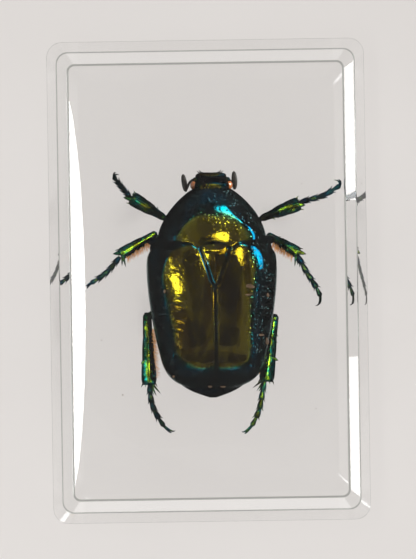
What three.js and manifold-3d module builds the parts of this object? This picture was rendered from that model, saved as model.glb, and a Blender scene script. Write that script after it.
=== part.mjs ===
// A flower chafer beetle cast in a clear bevelled resin block.
// Millimetres. The block lies on its back face at z = 0, the beetle's back is up
// and its head points to +Y. The origin is under the middle of the block.

import * as THREE from 'three';
import { LoftGeometry } from 'three/addons/geometries/LoftGeometry.js';
import { mergeVertices } from 'three/addons/utils/BufferGeometryUtils.js';
import Module from 'manifold-3d';

const wasm = await Module();
wasm.setup();

// ---------- driving dimensions ----------

const BLOCK = {
	width: 29,
	length: 44,
	height: 16,
	cornerRadius: 1.4,
	cornerNarrowing: 0.35,
	cornerLeast: 0.5,
	cornerPoints: 5,
	partingHeight: 6.6,
};

// The front edges carry two facets: a steep shoulder, then a 45 degree facet.
const BEVEL = {
	innerInset: 2.05,
	innerDrop: 1.0,
	outerInset: 1.0,
	outerDrop: 3.2,
	endStretch: 1.15,
	backChamfer: 0.4,
};

// The beetle's body frame: z = 0 is the plane of the wing covers' side edges.
const BODY = {
	x: 0.3,
	z: 7.4,
	roll: 4.5,
	ringPoints: 24,
};

const GAP = 0.3;
const SUTURE_GAP = 0.3;
const LIMB_SIDES = 8;
const THIN_SIDES = 6;
// Farther from the body's origin than any part of a wing cover.
const REACH = 8;
// How square the cross-sections are: 1 is an ellipse, and less is squarer.
const SQUARE = { shell: 0.8, pronotum: 0.82, head: 0.75, trunk: 0.8, tail: 0.9, pocket: 0.85 };

// ---------- materials ----------

const resin = new THREE.MeshStandardMaterial({
	color: 0xeef1f0, roughness: 0.03, metalness: 0, transparent: true, opacity: 0.3,
});
const shell = new THREE.MeshStandardMaterial({ color: 0x5d5a12, roughness: 0.2, metalness: 0.85 });
const shield = new THREE.MeshStandardMaterial({ color: 0x2c4a24, roughness: 0.2, metalness: 0.85 });
const under = new THREE.MeshStandardMaterial({ color: 0x1c3b2a, roughness: 0.3, metalness: 0.8 });
const limb = new THREE.MeshStandardMaterial({ color: 0x1f5a3c, roughness: 0.3, metalness: 0.8 });
const feeler = new THREE.MeshStandardMaterial({ color: 0x4a2c1a, roughness: 0.5, metalness: 0.1 });

// ---------- helpers ----------

const vec = (x, y, z) => new THREE.Vector3(x, y, z);

// A closed solid from a geometry whose shared corners are merged.
function solid(geometry) {
	const bare = new THREE.BufferGeometry();
	bare.setAttribute('position', geometry.attributes.position);
	bare.setIndex(geometry.index);
	const merged = mergeVertices(bare, 1e-4);
	return new wasm.Manifold(new wasm.Mesh({
		numProp: 3,
		vertProperties: new Float32Array(merged.attributes.position.array),
		triVerts: new Uint32Array(merged.index.array),
	}));
}

function geometryOf(manifold) {
	const mesh = manifold.getMesh();
	const geometry = new THREE.BufferGeometry();
	geometry.setAttribute('position', new THREE.BufferAttribute(mesh.vertProperties, 3));
	geometry.setIndex(new THREE.BufferAttribute(mesh.triVerts, 1));
	geometry.computeVertexNormals();
	return geometry;
}

const joined = (solids) => solids.reduce((sum, next) => sum.add(next));

function named(name, manifold, material) {
	const mesh = new THREE.Mesh(geometryOf(manifold), material);
	mesh.name = name;
	return mesh;
}

// The area vector of a closed ring of points.
function ringNormal(points) {
	const normal = vec(0, 0, 0);
	points.forEach((point, i) => normal.add(point.clone().cross(points[(i + 1) % points.length])));
	return normal;
}

const ringCentre = (points) => points.reduce((sum, point) => sum.add(point), vec(0, 0, 0))
	.divideScalar(points.length);

// A capped loft. Sections that wind the wrong way for outward faces are turned round.
function loftGeometry(sections) {
	const ahead = ringCentre(sections[1]).sub(ringCentre(sections[0]));
	const wound = ringNormal(sections[0]).dot(ahead) < 0
		? sections.map((points) => [...points].reverse())
		: sections;
	return new LoftGeometry(wound, { capStart: true, capEnd: true });
}

const loft = (sections) => solid(loftGeometry(sections));

// A rounded power curve that keeps the sign of its argument.
const power = (value, exponent) => Math.sign(value) * Math.abs(value) ** exponent;

// A cross-section of the body at y: half width, height above and depth below z = 0.
// bow moves its sides along y, and lift is the height of its widest points.
function bodyRing({ y, w, top, bottom, square, bow = 0, lift = 0 }) {
	const points = [];
	for (let i = 0; i < BODY.ringPoints; i++) {
		const angle = i / BODY.ringPoints * Math.PI * 2;
		const side = power(Math.cos(angle), square);
		const up = power(Math.sin(angle), square);
		const z = up >= 0 ? lift + up * (top - lift) : lift + up * (lift - bottom);
		points.push(vec(side * w, y + bow * side * side, z));
	}
	return points;
}

function bodyLoft(rings) {
	return loft(rings.map(bodyRing));
}

// A regular ring of radii ra and rb round a point, square to a direction.
function limbRing(centre, along, wide, ra, rb, sides) {
	const flat = wide.clone().addScaledVector(along, -wide.dot(along)).normalize();
	const high = vec(0, 0, 0).crossVectors(flat, along).normalize();
	const points = [];
	for (let i = 0; i < sides; i++) {
		const angle = (i + 0.5) / sides * Math.PI * 2;
		points.push(centre.clone()
			.addScaledVector(flat, Math.cos(angle) * ra)
			.addScaledVector(high, Math.sin(angle) * rb));
	}
	return points;
}

// A limb piece from a to b. Each station is [share of length, half width, half height].
function limbPiece(a, b, stations, sides = LIMB_SIDES) {
	const along = b.clone().sub(a).normalize();
	const wide = vec(-along.y, along.x, 0).normalize();
	const rings = stations.map(([share, ra, rb]) => {
		return limbRing(a.clone().lerp(b, share), along, wide, ra, rb, sides);
	});
	return loft(rings);
}

const SPIKE = { middle: 0.55, wide: 0.8, high: 0.7, tip: 0.05 };

// A pointed thorn from a to b.
function spike(a, b, thick) {
	return limbPiece(a, b, [
		[0, thick, thick],
		[SPIKE.middle, thick * SPIKE.wide, thick * SPIKE.high],
		[1, SPIKE.tip, SPIKE.tip],
	], THIN_SIDES);
}

function box(x0, x1, y0, y1, z0, z1) {
	const geometry = new THREE.BoxGeometry(x1 - x0, y1 - y0, z1 - z0);
	geometry.translate((x0 + x1) / 2, (y0 + y1) / 2, (z0 + z1) / 2);
	return solid(geometry);
}

// ---------- wing covers and scutellum ----------

const SHELL_RINGS = [
	{ y: 3.15, w: 5.1, top: 3.6 },
	{ y: 2.6, w: 5.7, top: 3.9 },
	{ y: 1.0, w: 6.02, top: 4.15 },
	{ y: -1.5, w: 5.85, top: 4.25 },
	{ y: -4.0, w: 5.5, top: 4.1 },
	{ y: -6.0, w: 5.08, top: 3.75 },
	{ y: -7.5, w: 4.65, top: 3.2 },
	{ y: -8.6, w: 4.1, top: 2.6 },
	{ y: -9.4, w: 3.2, top: 1.9 },
	{ y: -9.9, w: 1.9, top: 1.1 },
];
const SCUTELLUM = {
	base: 1.3,
	baseY: 3.05,
	apexY: -0.35,
	waistShare: 0.55,
	tipHalf: 0.22,
	tipLength: 0.25,
	tipNose: 0.1,
	curveSteps: 5,
	thickness: 0.9,
	top: 4.02,
};

function shellForm() {
	return bodyLoft(SHELL_RINGS.map((ring) => ({ ...ring, bottom: 0, square: SQUARE.shell })));
}

// The scutellum's plan: a long triangle with a rounded tip and slightly hollow sides.
function scutellumForm(margin, low, high) {
	const plan = new THREE.Shape();
	const half = SCUTELLUM.base + margin;
	const waist = SCUTELLUM.base * SCUTELLUM.waistShare + margin;
	const tipHalf = SCUTELLUM.tipHalf + margin;
	const tip = SCUTELLUM.apexY - margin;
	const base = SCUTELLUM.baseY + margin;
	const middle = (SCUTELLUM.baseY + tip) / 2;
	const shoulder = tip + SCUTELLUM.tipLength;
	plan.moveTo(-half, base);
	plan.quadraticCurveTo(-waist, middle, -tipHalf, shoulder);
	plan.quadraticCurveTo(0, tip - SCUTELLUM.tipNose, tipHalf, shoulder);
	plan.quadraticCurveTo(waist, middle, half, base);
	plan.closePath();
	const geometry = new THREE.ExtrudeGeometry(plan, {
		depth: high - low, bevelEnabled: false, curveSegments: SCUTELLUM.curveSteps,
	});
	geometry.translate(0, 0, low);
	return solid(geometry);
}

function wingCover(side) {
	const [near, far] = [side * SUTURE_GAP / 2, side * REACH];
	const half = box(Math.min(near, far), Math.max(near, far), -REACH * 2, REACH, -1, REACH);
	const seat = scutellumForm(GAP, SCUTELLUM.top - SCUTELLUM.thickness - GAP, REACH);
	return shellForm().intersect(half).subtract(seat);
}

function scutellum() {
	const low = SCUTELLUM.top - SCUTELLUM.thickness;
	return scutellumForm(0, low, REACH).intersect(shellForm());
}

// ---------- pronotum ----------

const PRONOTUM_RINGS = [
	{ y: 3.45, w: 4.95, top: 3.55, bow: 0.25 },
	{ y: 3.95, w: 5.0, top: 3.8, bow: 0.2 },
	{ y: 4.8, w: 4.8, top: 3.85, bow: 0.1 },
	{ y: 5.5, w: 4.5, top: 3.75 },
	{ y: 6.2, w: 4.1, top: 3.5 },
	{ y: 6.9, w: 3.55, top: 3.15 },
	{ y: 7.7, w: 2.75, top: 2.65 },
	{ y: 8.2, w: 2.1, top: 2.2 },
];

function pronotum() {
	return bodyLoft(PRONOTUM_RINGS.map((ring) => ({ ...ring, bottom: 0, square: SQUARE.pronotum })));
}

// ---------- head and antennae ----------

const HEAD_RINGS = [
	{ y: 8.52, w: 1.6, top: 2.1, bottom: 0.1 },
	{ y: 8.85, w: 1.72, top: 2.1, bottom: 0.0 },
	{ y: 9.1, w: 1.42, top: 1.9, bottom: -0.1 },
	{ y: 9.5, w: 1.36, top: 1.6, bottom: -0.15 },
	{ y: 9.85, w: 1.42, top: 1.3, bottom: 0.1, bow: -0.08 },
	{ y: 9.97, w: 1.2, top: 1.1, bottom: 0.4, bow: -0.15 },
];
const EYE = { x: 1.62, y: 8.92, z: 1.0, r: 0.42, sides: 10, bands: 6 };

// The club's stations: share of its length, then shares of its half width and half height.
const CLUB = {
	halfWidth: 0.24,
	halfHeight: 0.45,
	stations: [[0, 0.4, 0.27], [0.15, 0.85, 0.7], [0.6, 1, 1], [0.9, 0.9, 0.8], [1, 0.4, 0.33]],
};
const STALK = { rootX: 1.75, rootY: 9.5, rootZ: -0.08, bendX: 2.05, bendZ: -0.15, thick: 0.12, overlap: 0.1 };
const ANTENNAE = {
	left: { side: -1, base: vec(-2.35, 8.5, 0.4), tip: vec(-2.5, 9.85, 0.4) },
	right: { side: 1, base: vec(2.25, 8.5, 0.4), tip: vec(2.2, 10.05, 0.4) },
};

function eye(side) {
	const geometry = new THREE.SphereGeometry(EYE.r, EYE.sides, EYE.bands);
	geometry.translate(side * EYE.x, EYE.y, EYE.z);
	return solid(geometry);
}

function head() {
	const skull = bodyLoft(HEAD_RINGS.map((ring) => {
		return { ...ring, lift: (ring.top + ring.bottom) / 2, square: SQUARE.head };
	}));
	return joined([skull, eye(-1), eye(1)]);
}

// A stalk that comes from beside the mouth and a club of three leaves laid together.
function antenna({ side, base, tip }) {
	const even = [[0, STALK.thick, STALK.thick], [1, STALK.thick, STALK.thick]];
	const root = vec(side * STALK.rootX, STALK.rootY, STALK.rootZ);
	const bend = vec(side * STALK.bendX, (root.y + base.y) / 2, STALK.bendZ);
	const clubStations = CLUB.stations.map(([share, wide, high]) => {
		return [share, wide * CLUB.halfWidth, high * CLUB.halfHeight];
	});
	return joined([
		limbPiece(root, bend, even, THIN_SIDES),
		limbPiece(bend.clone().lerp(root, STALK.overlap), base.clone().lerp(tip, STALK.overlap), even, THIN_SIDES),
		limbPiece(base, tip, clubStations),
	]);
}

// ---------- underbody ----------

const UNDER_RINGS = [
	{ y: 8.1, w: 1.3, top: -0.35, bottom: -1.2 },
	{ y: 7.4, w: 2.4, top: -GAP, bottom: -1.9 },
	{ y: 6.2, w: 3.6, top: -GAP, bottom: -2.4 },
	{ y: 4.6, w: 4.4, top: -GAP, bottom: -2.7 },
	{ y: 3.2, w: 5.0, top: -GAP, bottom: -3.0 },
	{ y: 1.0, w: 5.6, top: -GAP, bottom: -3.2 },
	{ y: -1.5, w: 5.5, top: -GAP, bottom: -3.2 },
	{ y: -4.5, w: 5.1, top: -GAP, bottom: -3.0 },
	{ y: -7.2, w: 4.4, top: -GAP, bottom: -2.6 },
	{ y: -9.0, w: 3.4, top: -GAP, bottom: -2.1 },
	{ y: -10.1, w: 2.0, top: -GAP, bottom: -1.7 },
];
const UNDER_LIFT = -0.8;
const TAIL_PLATE_RINGS = [
	{ y: -10.0, w: 1.2, top: -0.5, bottom: -1.5 },
	{ y: -10.25, w: 1.7, top: 0.3, bottom: -1.6 },
	{ y: -10.6, w: 0.95, top: -0.1, bottom: -1.5 },
	{ y: -10.8, w: 0.25, top: -0.5, bottom: -1.2 },
];

function underbody() {
	const shaped = (rings, square) => bodyLoft(rings.map((ring) => ({ ...ring, lift: UNDER_LIFT, square })));
	return shaped(UNDER_RINGS, SQUARE.trunk).add(shaped(TAIL_PLATE_RINGS, SQUARE.tail));
}

// ---------- legs ----------
// Points are in the block's frame, from the hip outwards.

const LEGS = [
	{
		name: 'foreleg_left',
		hip: vec(-2.5, 4.5, 3.85), knee: vec(-4.1, 5.95, 5.4), apex: vec(-7.0, 7.78, 6.3),
		femur: 0.5, shin: [0.34, 0.54, 0.62],
		teeth: [[0.82, vec(-7.28, 7.3, 6.3)], [0.97, vec(-7.79, 7.84, 6.35)], [0.5, vec(-5.95, 6.62, 6.1)]],
		spurs: [vec(-6.82, 8.3, 6.3)],
		foot: [vec(-7.15, 7.9, 6.3), vec(-7.78, 8.6, 6.4), vec(-8.16, 9.12, 6.5), vec(-8.62, 9.75, 6.5)],
		claws: [vec(-8.1, 9.92, 6.45), vec(-8.4, 10.15, 6.2)],
	},
	{
		name: 'foreleg_right',
		hip: vec(2.8, 4.3, 3.75), knee: vec(5.1, 5.75, 5.2), apex: vec(8.5, 7.02, 6.2),
		femur: 0.5, shin: [0.34, 0.54, 0.62],
		teeth: [[0.82, vec(8.47, 6.38, 6.2)], [0.97, vec(9.08, 6.86, 6.2)], [0.5, vec(7.2, 6.1, 6.0)]],
		spurs: [vec(8.32, 7.65, 6.2)],
		foot: [vec(8.6, 7.15, 6.2), vec(9.7, 7.43, 6.3), vec(10.8, 7.71, 6.4), vec(11.66, 8.25, 6.4),
			vec(12.3, 8.62, 6.4)],
		claws: [vec(11.75, 9.15, 6.35), vec(12.1, 9.2, 6.15)],
	},
	{
		name: 'middle_leg_left',
		hip: vec(-2.6, 1.2, 3.4), knee: vec(-5.0, 4.35, 5.4), apex: vec(-8.15, 2.55, 5.8),
		femur: 0.62, shin: [0.34, 0.46, 0.52],
		teeth: [[0.92, vec(-8.84, 2.62, 5.8)]],
		spurs: [vec(-7.65, 1.4, 5.7), vec(-8.0, 1.5, 5.5)],
		foot: [vec(-8.2, 2.3, 5.8), vec(-8.84, 1.55, 5.8), vec(-9.24, 1.08, 5.8), vec(-9.8, 0.61, 5.8),
			vec(-10.9, -0.05, 5.8)],
		claws: [vec(-11.35, -0.3, 5.7), vec(-11.2, -0.55, 5.55)],
	},
	{
		name: 'middle_leg_right',
		hip: vec(3.0, 1.2, 3.05), knee: vec(5.75, 4.05, 4.75), apex: vec(8.35, 2.45, 5.6),
		femur: 0.62, shin: [0.34, 0.46, 0.52],
		teeth: [[0.92, vec(9.1, 2.32, 5.6)]],
		spurs: [vec(8.0, 1.2, 5.5), vec(8.3, 1.3, 5.3)],
		foot: [vec(8.3, 2.2, 5.6), vec(8.74, 1.35, 5.6), vec(9.23, 0.4, 5.6), vec(9.81, -0.46, 5.6),
			vec(10.35, -1.6, 5.6)],
		claws: [vec(9.85, -2.45, 5.5), vec(10.1, -2.35, 5.3)],
	},
	{
		name: 'hind_leg_left',
		hip: vec(-2.7, -2.0, 3.45), knee: vec(-5.75, -3.3, 4.9), apex: vec(-5.65, -9.55, 5.6),
		femur: 0.75, shin: [0.4, 0.52, 0.66],
		teeth: [[0.66, vec(-6.4, -7.6, 5.5)]],
		spurs: [vec(-4.6, -10.4, 5.5), vec(-5.0, -10.6, 5.3)],
		foot: [vec(-5.6, -9.5, 5.6), vec(-5.56, -10.49, 5.7), vec(-5.4, -11.46, 5.7), vec(-5.05, -12.26, 5.7),
			vec(-4.35, -13.4, 5.7)],
		claws: [vec(-3.3, -13.8, 5.6), vec(-3.65, -14.0, 5.4)],
	},
	{
		name: 'hind_leg_right',
		hip: vec(3.0, -2.1, 3.1), knee: vec(6.05, -3.6, 4.5), apex: vec(5.2, -9.4, 5.4),
		femur: 0.75, shin: [0.4, 0.52, 0.66],
		teeth: [[0.66, vec(6.35, -7.5, 5.3)]],
		spurs: [vec(3.95, -10.0, 5.3), vec(4.3, -10.3, 5.1)],
		foot: [vec(5.05, -9.4, 5.4), vec(4.77, -10.65, 5.5), vec(4.66, -11.53, 5.5), vec(4.38, -12.41, 5.5),
			vec(3.8, -13.5, 5.5)],
		claws: [vec(2.85, -14.0, 5.4), vec(3.1, -14.2, 5.2)],
	},
];
// Stations of a thigh: share of its length, then shares of its thickness.
const THIGH = [[0, 0.6, 0.5], [0.35, 1, 0.7], [0.85, 0.7, 0.6], [1, 0.4, 0.35]];
// Stations of a shin: share of its length, which of its three widths holds there, and two shares of it.
const SHIN = [[0, 0, 0.7, 0.7], [0.12, 0, 1, 0.9], [0.5, 1, 1, 0.6], [0.93, 2, 1, 0.6], [1, 2, 0.75, 0.45]];
const FOOT = { thick: 0.21, root: 0.14, overlap: 0.12, widest: 0.75 };
const TOOTH = { thick: 0.24, back: 0.06 };
const SPUR = { thick: 0.13, share: 0.95 };
const CLAW = { thick: 0.1, overlap: 0.1 };
const KNEE_OVERLAP = 0.1;

function footPieces(path) {
	return path.slice(1).map((end, i) => {
		const start = path[i].clone().lerp(end, -FOOT.overlap);
		return limbPiece(start, end, [
			[0, FOOT.root, FOOT.root],
			[FOOT.widest, FOOT.thick, FOOT.thick],
			[1, FOOT.root, FOOT.root],
		], THIN_SIDES);
	});
}

function leg(plan) {
	const onShin = (share) => plan.knee.clone().lerp(plan.apex, share);
	const thigh = limbPiece(plan.hip, plan.knee, THIGH.map(([share, wide, high]) => {
		return [share, plan.femur * wide, plan.femur * high];
	}));
	const kneeEnd = plan.knee.clone().lerp(plan.hip, KNEE_OVERLAP);
	const shin = limbPiece(kneeEnd, plan.apex, SHIN.map(([share, which, wide, high]) => {
		return [share, plan.shin[which] * wide, plan.shin[which] * high];
	}));
	const teeth = plan.teeth.map(([share, tip]) => spike(onShin(share - TOOTH.back), tip, TOOTH.thick));
	const spurs = plan.spurs.map((tip) => spike(onShin(SPUR.share), tip, SPUR.thick));
	const [before, toe] = plan.foot.slice(-2);
	const clawRoot = toe.clone().lerp(before, CLAW.overlap);
	const claws = plan.claws.map((tip) => spike(clawRoot, tip, CLAW.thick));
	return joined([thigh, shin, ...teeth, ...spurs, ...footPieces(plan.foot), ...claws]);
}

// ---------- pocket and block ----------

const POCKET_RINGS = [
	{ y: 10.6, w: 2.9, top: 1.4, bottom: -1.3 },
	{ y: 9.8, w: 3.3, top: 2.4, bottom: -1.9 },
	{ y: 8.3, w: 3.5, top: 3.2, bottom: -2.6 },
	{ y: 6.9, w: 4.3, top: 3.9, bottom: -3.5 },
	{ y: 5.4, w: 5.3, top: 4.3, bottom: -3.8 },
	{ y: 3.4, w: 6.1, top: 4.6, bottom: -4.2 },
	{ y: 1.0, w: 6.55, top: 4.75, bottom: -4.4 },
	{ y: -1.5, w: 6.4, top: 4.8, bottom: -4.4 },
	{ y: -4.5, w: 6.0, top: 4.6, bottom: -4.2 },
	{ y: -7.5, w: 5.2, top: 3.8, bottom: -3.8 },
	{ y: -9.4, w: 4.1, top: 2.7, bottom: -3.3 },
	{ y: -10.5, w: 2.6, top: 1.4, bottom: -2.8 },
	{ y: -11.25, w: 1.2, top: 0.6, bottom: -2.4 },
];

const POCKET_LIFT = -0.4;

// Widths and heights of the room round the legs, and how far it goes past their ends.
const SLOT = {
	shinWidth: 3.1,
	footWidth: 2.3,
	thighRoom: 1,
	depth: 1.15,
	footDepth: 0.92,
	thighTop: 7.1,
	shinTop: 7.35,
	footTop: 7.2,
	roundThigh: 0.6,
	beforeShin: 1,
	beyondShin: 1.2,
	beyondFoot: 1.6,
};

// An upright slot of the given width round the line from a to b, up to a set height.
function slot(a, b, { width, low, high, before, beyond }) {
	const along = b.clone().sub(a).setZ(0);
	const length = along.length() + before + beyond;
	const geometry = new THREE.BoxGeometry(length, width, high - low);
	geometry.translate(length / 2 - before, 0, 0);
	geometry.rotateZ(Math.atan2(along.y, along.x));
	geometry.translate(a.x, a.y, (low + high) / 2);
	return solid(geometry);
}

// The room round one leg: a wide slot along the shin, a narrow one along the foot.
function legPocket(plan) {
	const toe = plan.foot[plan.foot.length - 1];
	const thigh = slot(plan.hip, plan.knee, {
		width: plan.femur * 2 + SLOT.thighRoom, low: plan.hip.z - SLOT.depth,
		high: SLOT.thighTop, before: SLOT.roundThigh, beyond: SLOT.roundThigh,
	});
	const shin = slot(plan.knee, plan.apex, {
		width: SLOT.shinWidth, low: Math.min(plan.knee.z, plan.apex.z) - SLOT.depth,
		high: SLOT.shinTop, before: SLOT.beforeShin, beyond: SLOT.beyondShin,
	});
	const foot = slot(plan.apex, toe, {
		width: SLOT.footWidth, low: toe.z - SLOT.footDepth,
		high: SLOT.footTop, before: 0, beyond: SLOT.beyondFoot,
	});
	return joined([thigh, shin, foot]);
}

function blockSection(z, inset) {
	const halfX = BLOCK.width / 2 - inset;
	const halfY = BLOCK.length / 2 - inset * BEVEL.endStretch;
	const radius = Math.max(BLOCK.cornerLeast, BLOCK.cornerRadius - inset * BLOCK.cornerNarrowing);
	const corners = [[1, 1, 0], [-1, 1, 1], [-1, -1, 2], [1, -1, 3]];
	const points = [];
	for (const [sx, sy, quarter] of corners) {
		for (let i = 0; i < BLOCK.cornerPoints; i++) {
			const angle = (quarter + i / (BLOCK.cornerPoints - 1)) * Math.PI / 2;
			points.push(vec(
				sx * (halfX - radius) + Math.cos(angle) * radius,
				sy * (halfY - radius) + Math.sin(angle) * radius,
				z,
			));
		}
	}
	return points;
}

function frontHalf(pocket) {
	const form = loft([
		blockSection(BLOCK.partingHeight, 0),
		blockSection(BLOCK.height - BEVEL.outerDrop, 0),
		blockSection(BLOCK.height - BEVEL.innerDrop, BEVEL.outerInset),
		blockSection(BLOCK.height, BEVEL.innerInset),
	]);
	return form.subtract(pocket);
}

function backHalf(pocket) {
	const form = loft([
		blockSection(0, BEVEL.backChamfer),
		blockSection(BEVEL.backChamfer, 0),
		blockSection(BLOCK.partingHeight, 0),
	]);
	return form.subtract(pocket);
}

// ---------- assembly ----------

const group = new THREE.Group();

const body = new THREE.Group();
body.position.set(BODY.x, 0, BODY.z);
body.rotation.y = THREE.MathUtils.degToRad(BODY.roll);
body.add(
	named('head', head(), shield),
	named('pronotum', pronotum(), shield),
	named('scutellum', scutellum(), shell),
	named('elytron_left', wingCover(-1), shell),
	named('elytron_right', wingCover(1), shell),
	named('underbody', underbody(), under),
	named('antenna_left', antenna(ANTENNAE.left), feeler),
	named('antenna_right', antenna(ANTENNAE.right), feeler),
);
body.updateMatrixWorld(true);
group.add(body);

const legs = new THREE.Group();
legs.add(...LEGS.map((plan) => named(plan.name, leg(plan), limb)));
group.add(legs);

const bodyPocket = loftGeometry(
	POCKET_RINGS.map((ring) => bodyRing({ ...ring, lift: POCKET_LIFT, square: SQUARE.pocket })),
);
bodyPocket.applyMatrix4(body.matrixWorld);
const pocket = joined([solid(bodyPocket), ...LEGS.map(legPocket)]);

const block = new THREE.Group();
block.add(
	named('resin_front', frontHalf(pocket), resin),
	named('resin_back', backHalf(pocket), resin),
);
group.add(block);

export default group;
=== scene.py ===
"""A flower chafer beetle cast in a clear bevelled resin block, dressed over its CAD frame."""
import math

import bmesh
import bpy
import numpy as np
from bpy.props import FloatProperty, FloatVectorProperty, PointerProperty
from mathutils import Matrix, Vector


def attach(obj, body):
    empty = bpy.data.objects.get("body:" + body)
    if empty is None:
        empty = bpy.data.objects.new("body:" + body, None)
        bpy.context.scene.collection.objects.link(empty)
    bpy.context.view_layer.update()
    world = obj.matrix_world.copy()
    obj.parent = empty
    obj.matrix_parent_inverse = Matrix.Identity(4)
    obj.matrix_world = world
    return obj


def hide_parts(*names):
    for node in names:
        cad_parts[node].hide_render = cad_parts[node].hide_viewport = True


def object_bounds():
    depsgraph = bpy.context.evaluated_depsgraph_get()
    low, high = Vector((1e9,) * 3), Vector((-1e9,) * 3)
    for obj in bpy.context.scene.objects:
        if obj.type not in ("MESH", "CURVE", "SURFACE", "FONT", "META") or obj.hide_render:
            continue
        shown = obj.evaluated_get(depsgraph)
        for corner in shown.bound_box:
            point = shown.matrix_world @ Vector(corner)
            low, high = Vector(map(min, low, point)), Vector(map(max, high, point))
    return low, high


bl_info = {
    "name": "Insect in Resin Block",
    "version": (1, 0, 0),
    "blender": (4, 5, 0),
    "location": "3D View > Sidebar > Resin Block",
    "description": "Builds a flower chafer beetle and the clear block that it is cast in",
    "category": "Add Mesh",
}

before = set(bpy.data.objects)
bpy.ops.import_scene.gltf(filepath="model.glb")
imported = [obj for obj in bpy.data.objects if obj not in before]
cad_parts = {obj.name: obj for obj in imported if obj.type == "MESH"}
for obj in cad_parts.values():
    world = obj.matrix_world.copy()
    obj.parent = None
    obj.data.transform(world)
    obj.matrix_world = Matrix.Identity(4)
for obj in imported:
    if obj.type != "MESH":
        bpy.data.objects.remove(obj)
CAD_BOX = [[float(value) for value in corner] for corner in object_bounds()]
BLOCK_LOW, BLOCK_HIGH = (np.array(corner) for corner in CAD_BOX)
BLOCK_SIZE = BLOCK_HIGH - BLOCK_LOW

MM = 0.001
UP = np.array([0.0, 0.0, 1.0])
BODY = "root"
SEED = 11
SHELLS = {"Wing Cover", "Scutellum", "Shield", "Underside", "Head", "Leg", "Horn", "Eye"}


# ---- settings


def length_setting(name, description, default_mm):
    return FloatProperty(name=name, description=description, default=default_mm * MM, unit="LENGTH",
                         precision=5)


def angle_setting(name, description, default_degrees):
    return FloatProperty(name=name, description=description, default=math.radians(default_degrees),
                         subtype="ANGLE")


def colour_setting(name, description, default):
    return FloatVectorProperty(name=name, description=description, default=default, subtype="COLOR",
                               size=3, min=0.0, max=1.0)


class BlockSettings(bpy.types.PropertyGroup):
    """Edges and clearness of the cast block."""

    inner_inset: length_setting("Inner facet inset", "From the side wall to the front face's crease", 2.05)
    inner_drop: length_setting("Inner facet drop", "Depth of the 45 degree facet below the front", 1.0)
    outer_inset: length_setting("Outer facet inset", "From the side wall to the crease between facets", 1.0)
    outer_drop: length_setting("Outer facet drop", "Depth of the steep shoulder below the front", 3.2)
    end_stretch: FloatProperty(name="End stretch", description="How much wider the end facets are",
                               default=1.15, subtype="FACTOR")
    back_chamfer: length_setting("Back chamfer", "Small chamfer round the back face", 0.4)
    corner_radius: length_setting("Corner radius", "Radius of the upright corners", 1.4)
    edge_round: length_setting("Edge polish", "Width of the polished rounding on each crease", 0.11)
    ior: FloatProperty(name="Refraction", description="Index of refraction of the resin", default=1.54)
    absorption: FloatProperty(name="Absorption", description="Density of the resin's faint tint",
                              default=4.0)
    tint: colour_setting("Tint", "Colour that long paths through the resin take", (0.93, 0.95, 0.93))


class BeetleSettings(bpy.types.PropertyGroup):
    """Lie and surface of the beetle."""

    roll: angle_setting("Roll", "How far the beetle leans to its right in the block", 4.5)
    centre_x: length_setting("Centre", "Sideways place of the beetle's middle line", 0.3)
    edge_height: length_setting("Edge height", "Height of the wing covers' side edges in the block", 7.4)
    puncture_spacing: length_setting("Puncture spacing", "Distance between the fine pits", 0.3)
    hair_length: length_setting("Hair length", "Length of the hairs along the legs", 0.75)
    hair_width: length_setting("Hair width", "Thickness of one hair", 0.035)


class ColourSettings(bpy.types.PropertyGroup):
    """Colours of the metallic shell, from where it faces up to where it faces sideways, as painted sheen
    and shade.
    """

    gold: colour_setting("Gold", "Where the shell faces up", (0.27, 0.205, 0.006))
    bronze: colour_setting("Bronze", "Stains in the gold", (0.28, 0.19, 0.12))
    olive: colour_setting("Olive", "On gentle slopes", (0.19, 0.175, 0.012))
    green: colour_setting("Green", "Where the slope passes 20 degrees", (0.03, 0.12, 0.05))
    teal: colour_setting("Teal", "Where the slope passes 22 degrees", (0.0, 0.055, 0.070))
    blue: colour_setting("Blue", "Where the slope passes 27 degrees", (0.0, 0.016, 0.031))
    night: colour_setting("Night blue", "Where the slope passes 39 degrees", (0.0, 0.007, 0.014))
    # Painted shade: the steep flanks are near-black, for the dark surroundings that they mirror.
    flank: colour_setting("Flank", "On the steep sides", (0.003, 0.003, 0.003))
    # Painted glint: a pale colour in the pits of the steep sides, for sparkles of light.
    painted_glint: colour_setting("Painted Glint", "In the pits of the steep sides", (0.13, 0.25, 0.25))
    horn: colour_setting("Horn", "Antennae and mouth", (0.012, 0.009, 0.007))
    eye: colour_setting("Eye", "Eyes and cheeks", (0.22, 0.065, 0.015))
    hair: colour_setting("Hair", "Fringes of hair on the legs", (0.70, 0.32, 0.10))
    flaw: colour_setting("Flaw", "Air pockets and specks in the resin", (0.15, 0.085, 0.045))


class StageSettings(bpy.types.PropertyGroup):
    """Floor, lights and camera."""

    floor: colour_setting("Floor", "Colour of the pale floor", (0.745, 0.712, 0.69))
    camera_height: length_setting("Camera height", "From the front face to the lens", 240.0)
    lens: FloatProperty(name="Lens", description="Focal length in millimetres", default=171.5,
                        unit="CAMERA")
    camera_roll: angle_setting("Camera roll", "Turn of the camera about its view", -0.9)


class ResinBlockSettings(bpy.types.PropertyGroup):
    """All settings of the resin block."""

    block: PointerProperty(type=BlockSettings)
    beetle: PointerProperty(type=BeetleSettings)
    colours: PointerProperty(type=ColourSettings)
    stage: PointerProperty(type=StageSettings)


def settings():
    return bpy.context.scene.resin_block


# ---- node groups and materials


def feed(node, inputs):
    """Sets a node's inputs to values, or links other nodes' sockets to them."""
    for key, value in inputs.items():
        if isinstance(value, bpy.types.NodeSocket):
            node.id_data.links.new(value, node.inputs[key])
        else:
            node.inputs[key].default_value = value


def add_node(tree, kind, inputs, **options):
    node = tree.nodes.new("ShaderNode" + kind)
    for key, value in options.items():
        setattr(node, key, value)
    feed(node, inputs)
    return node


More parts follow.
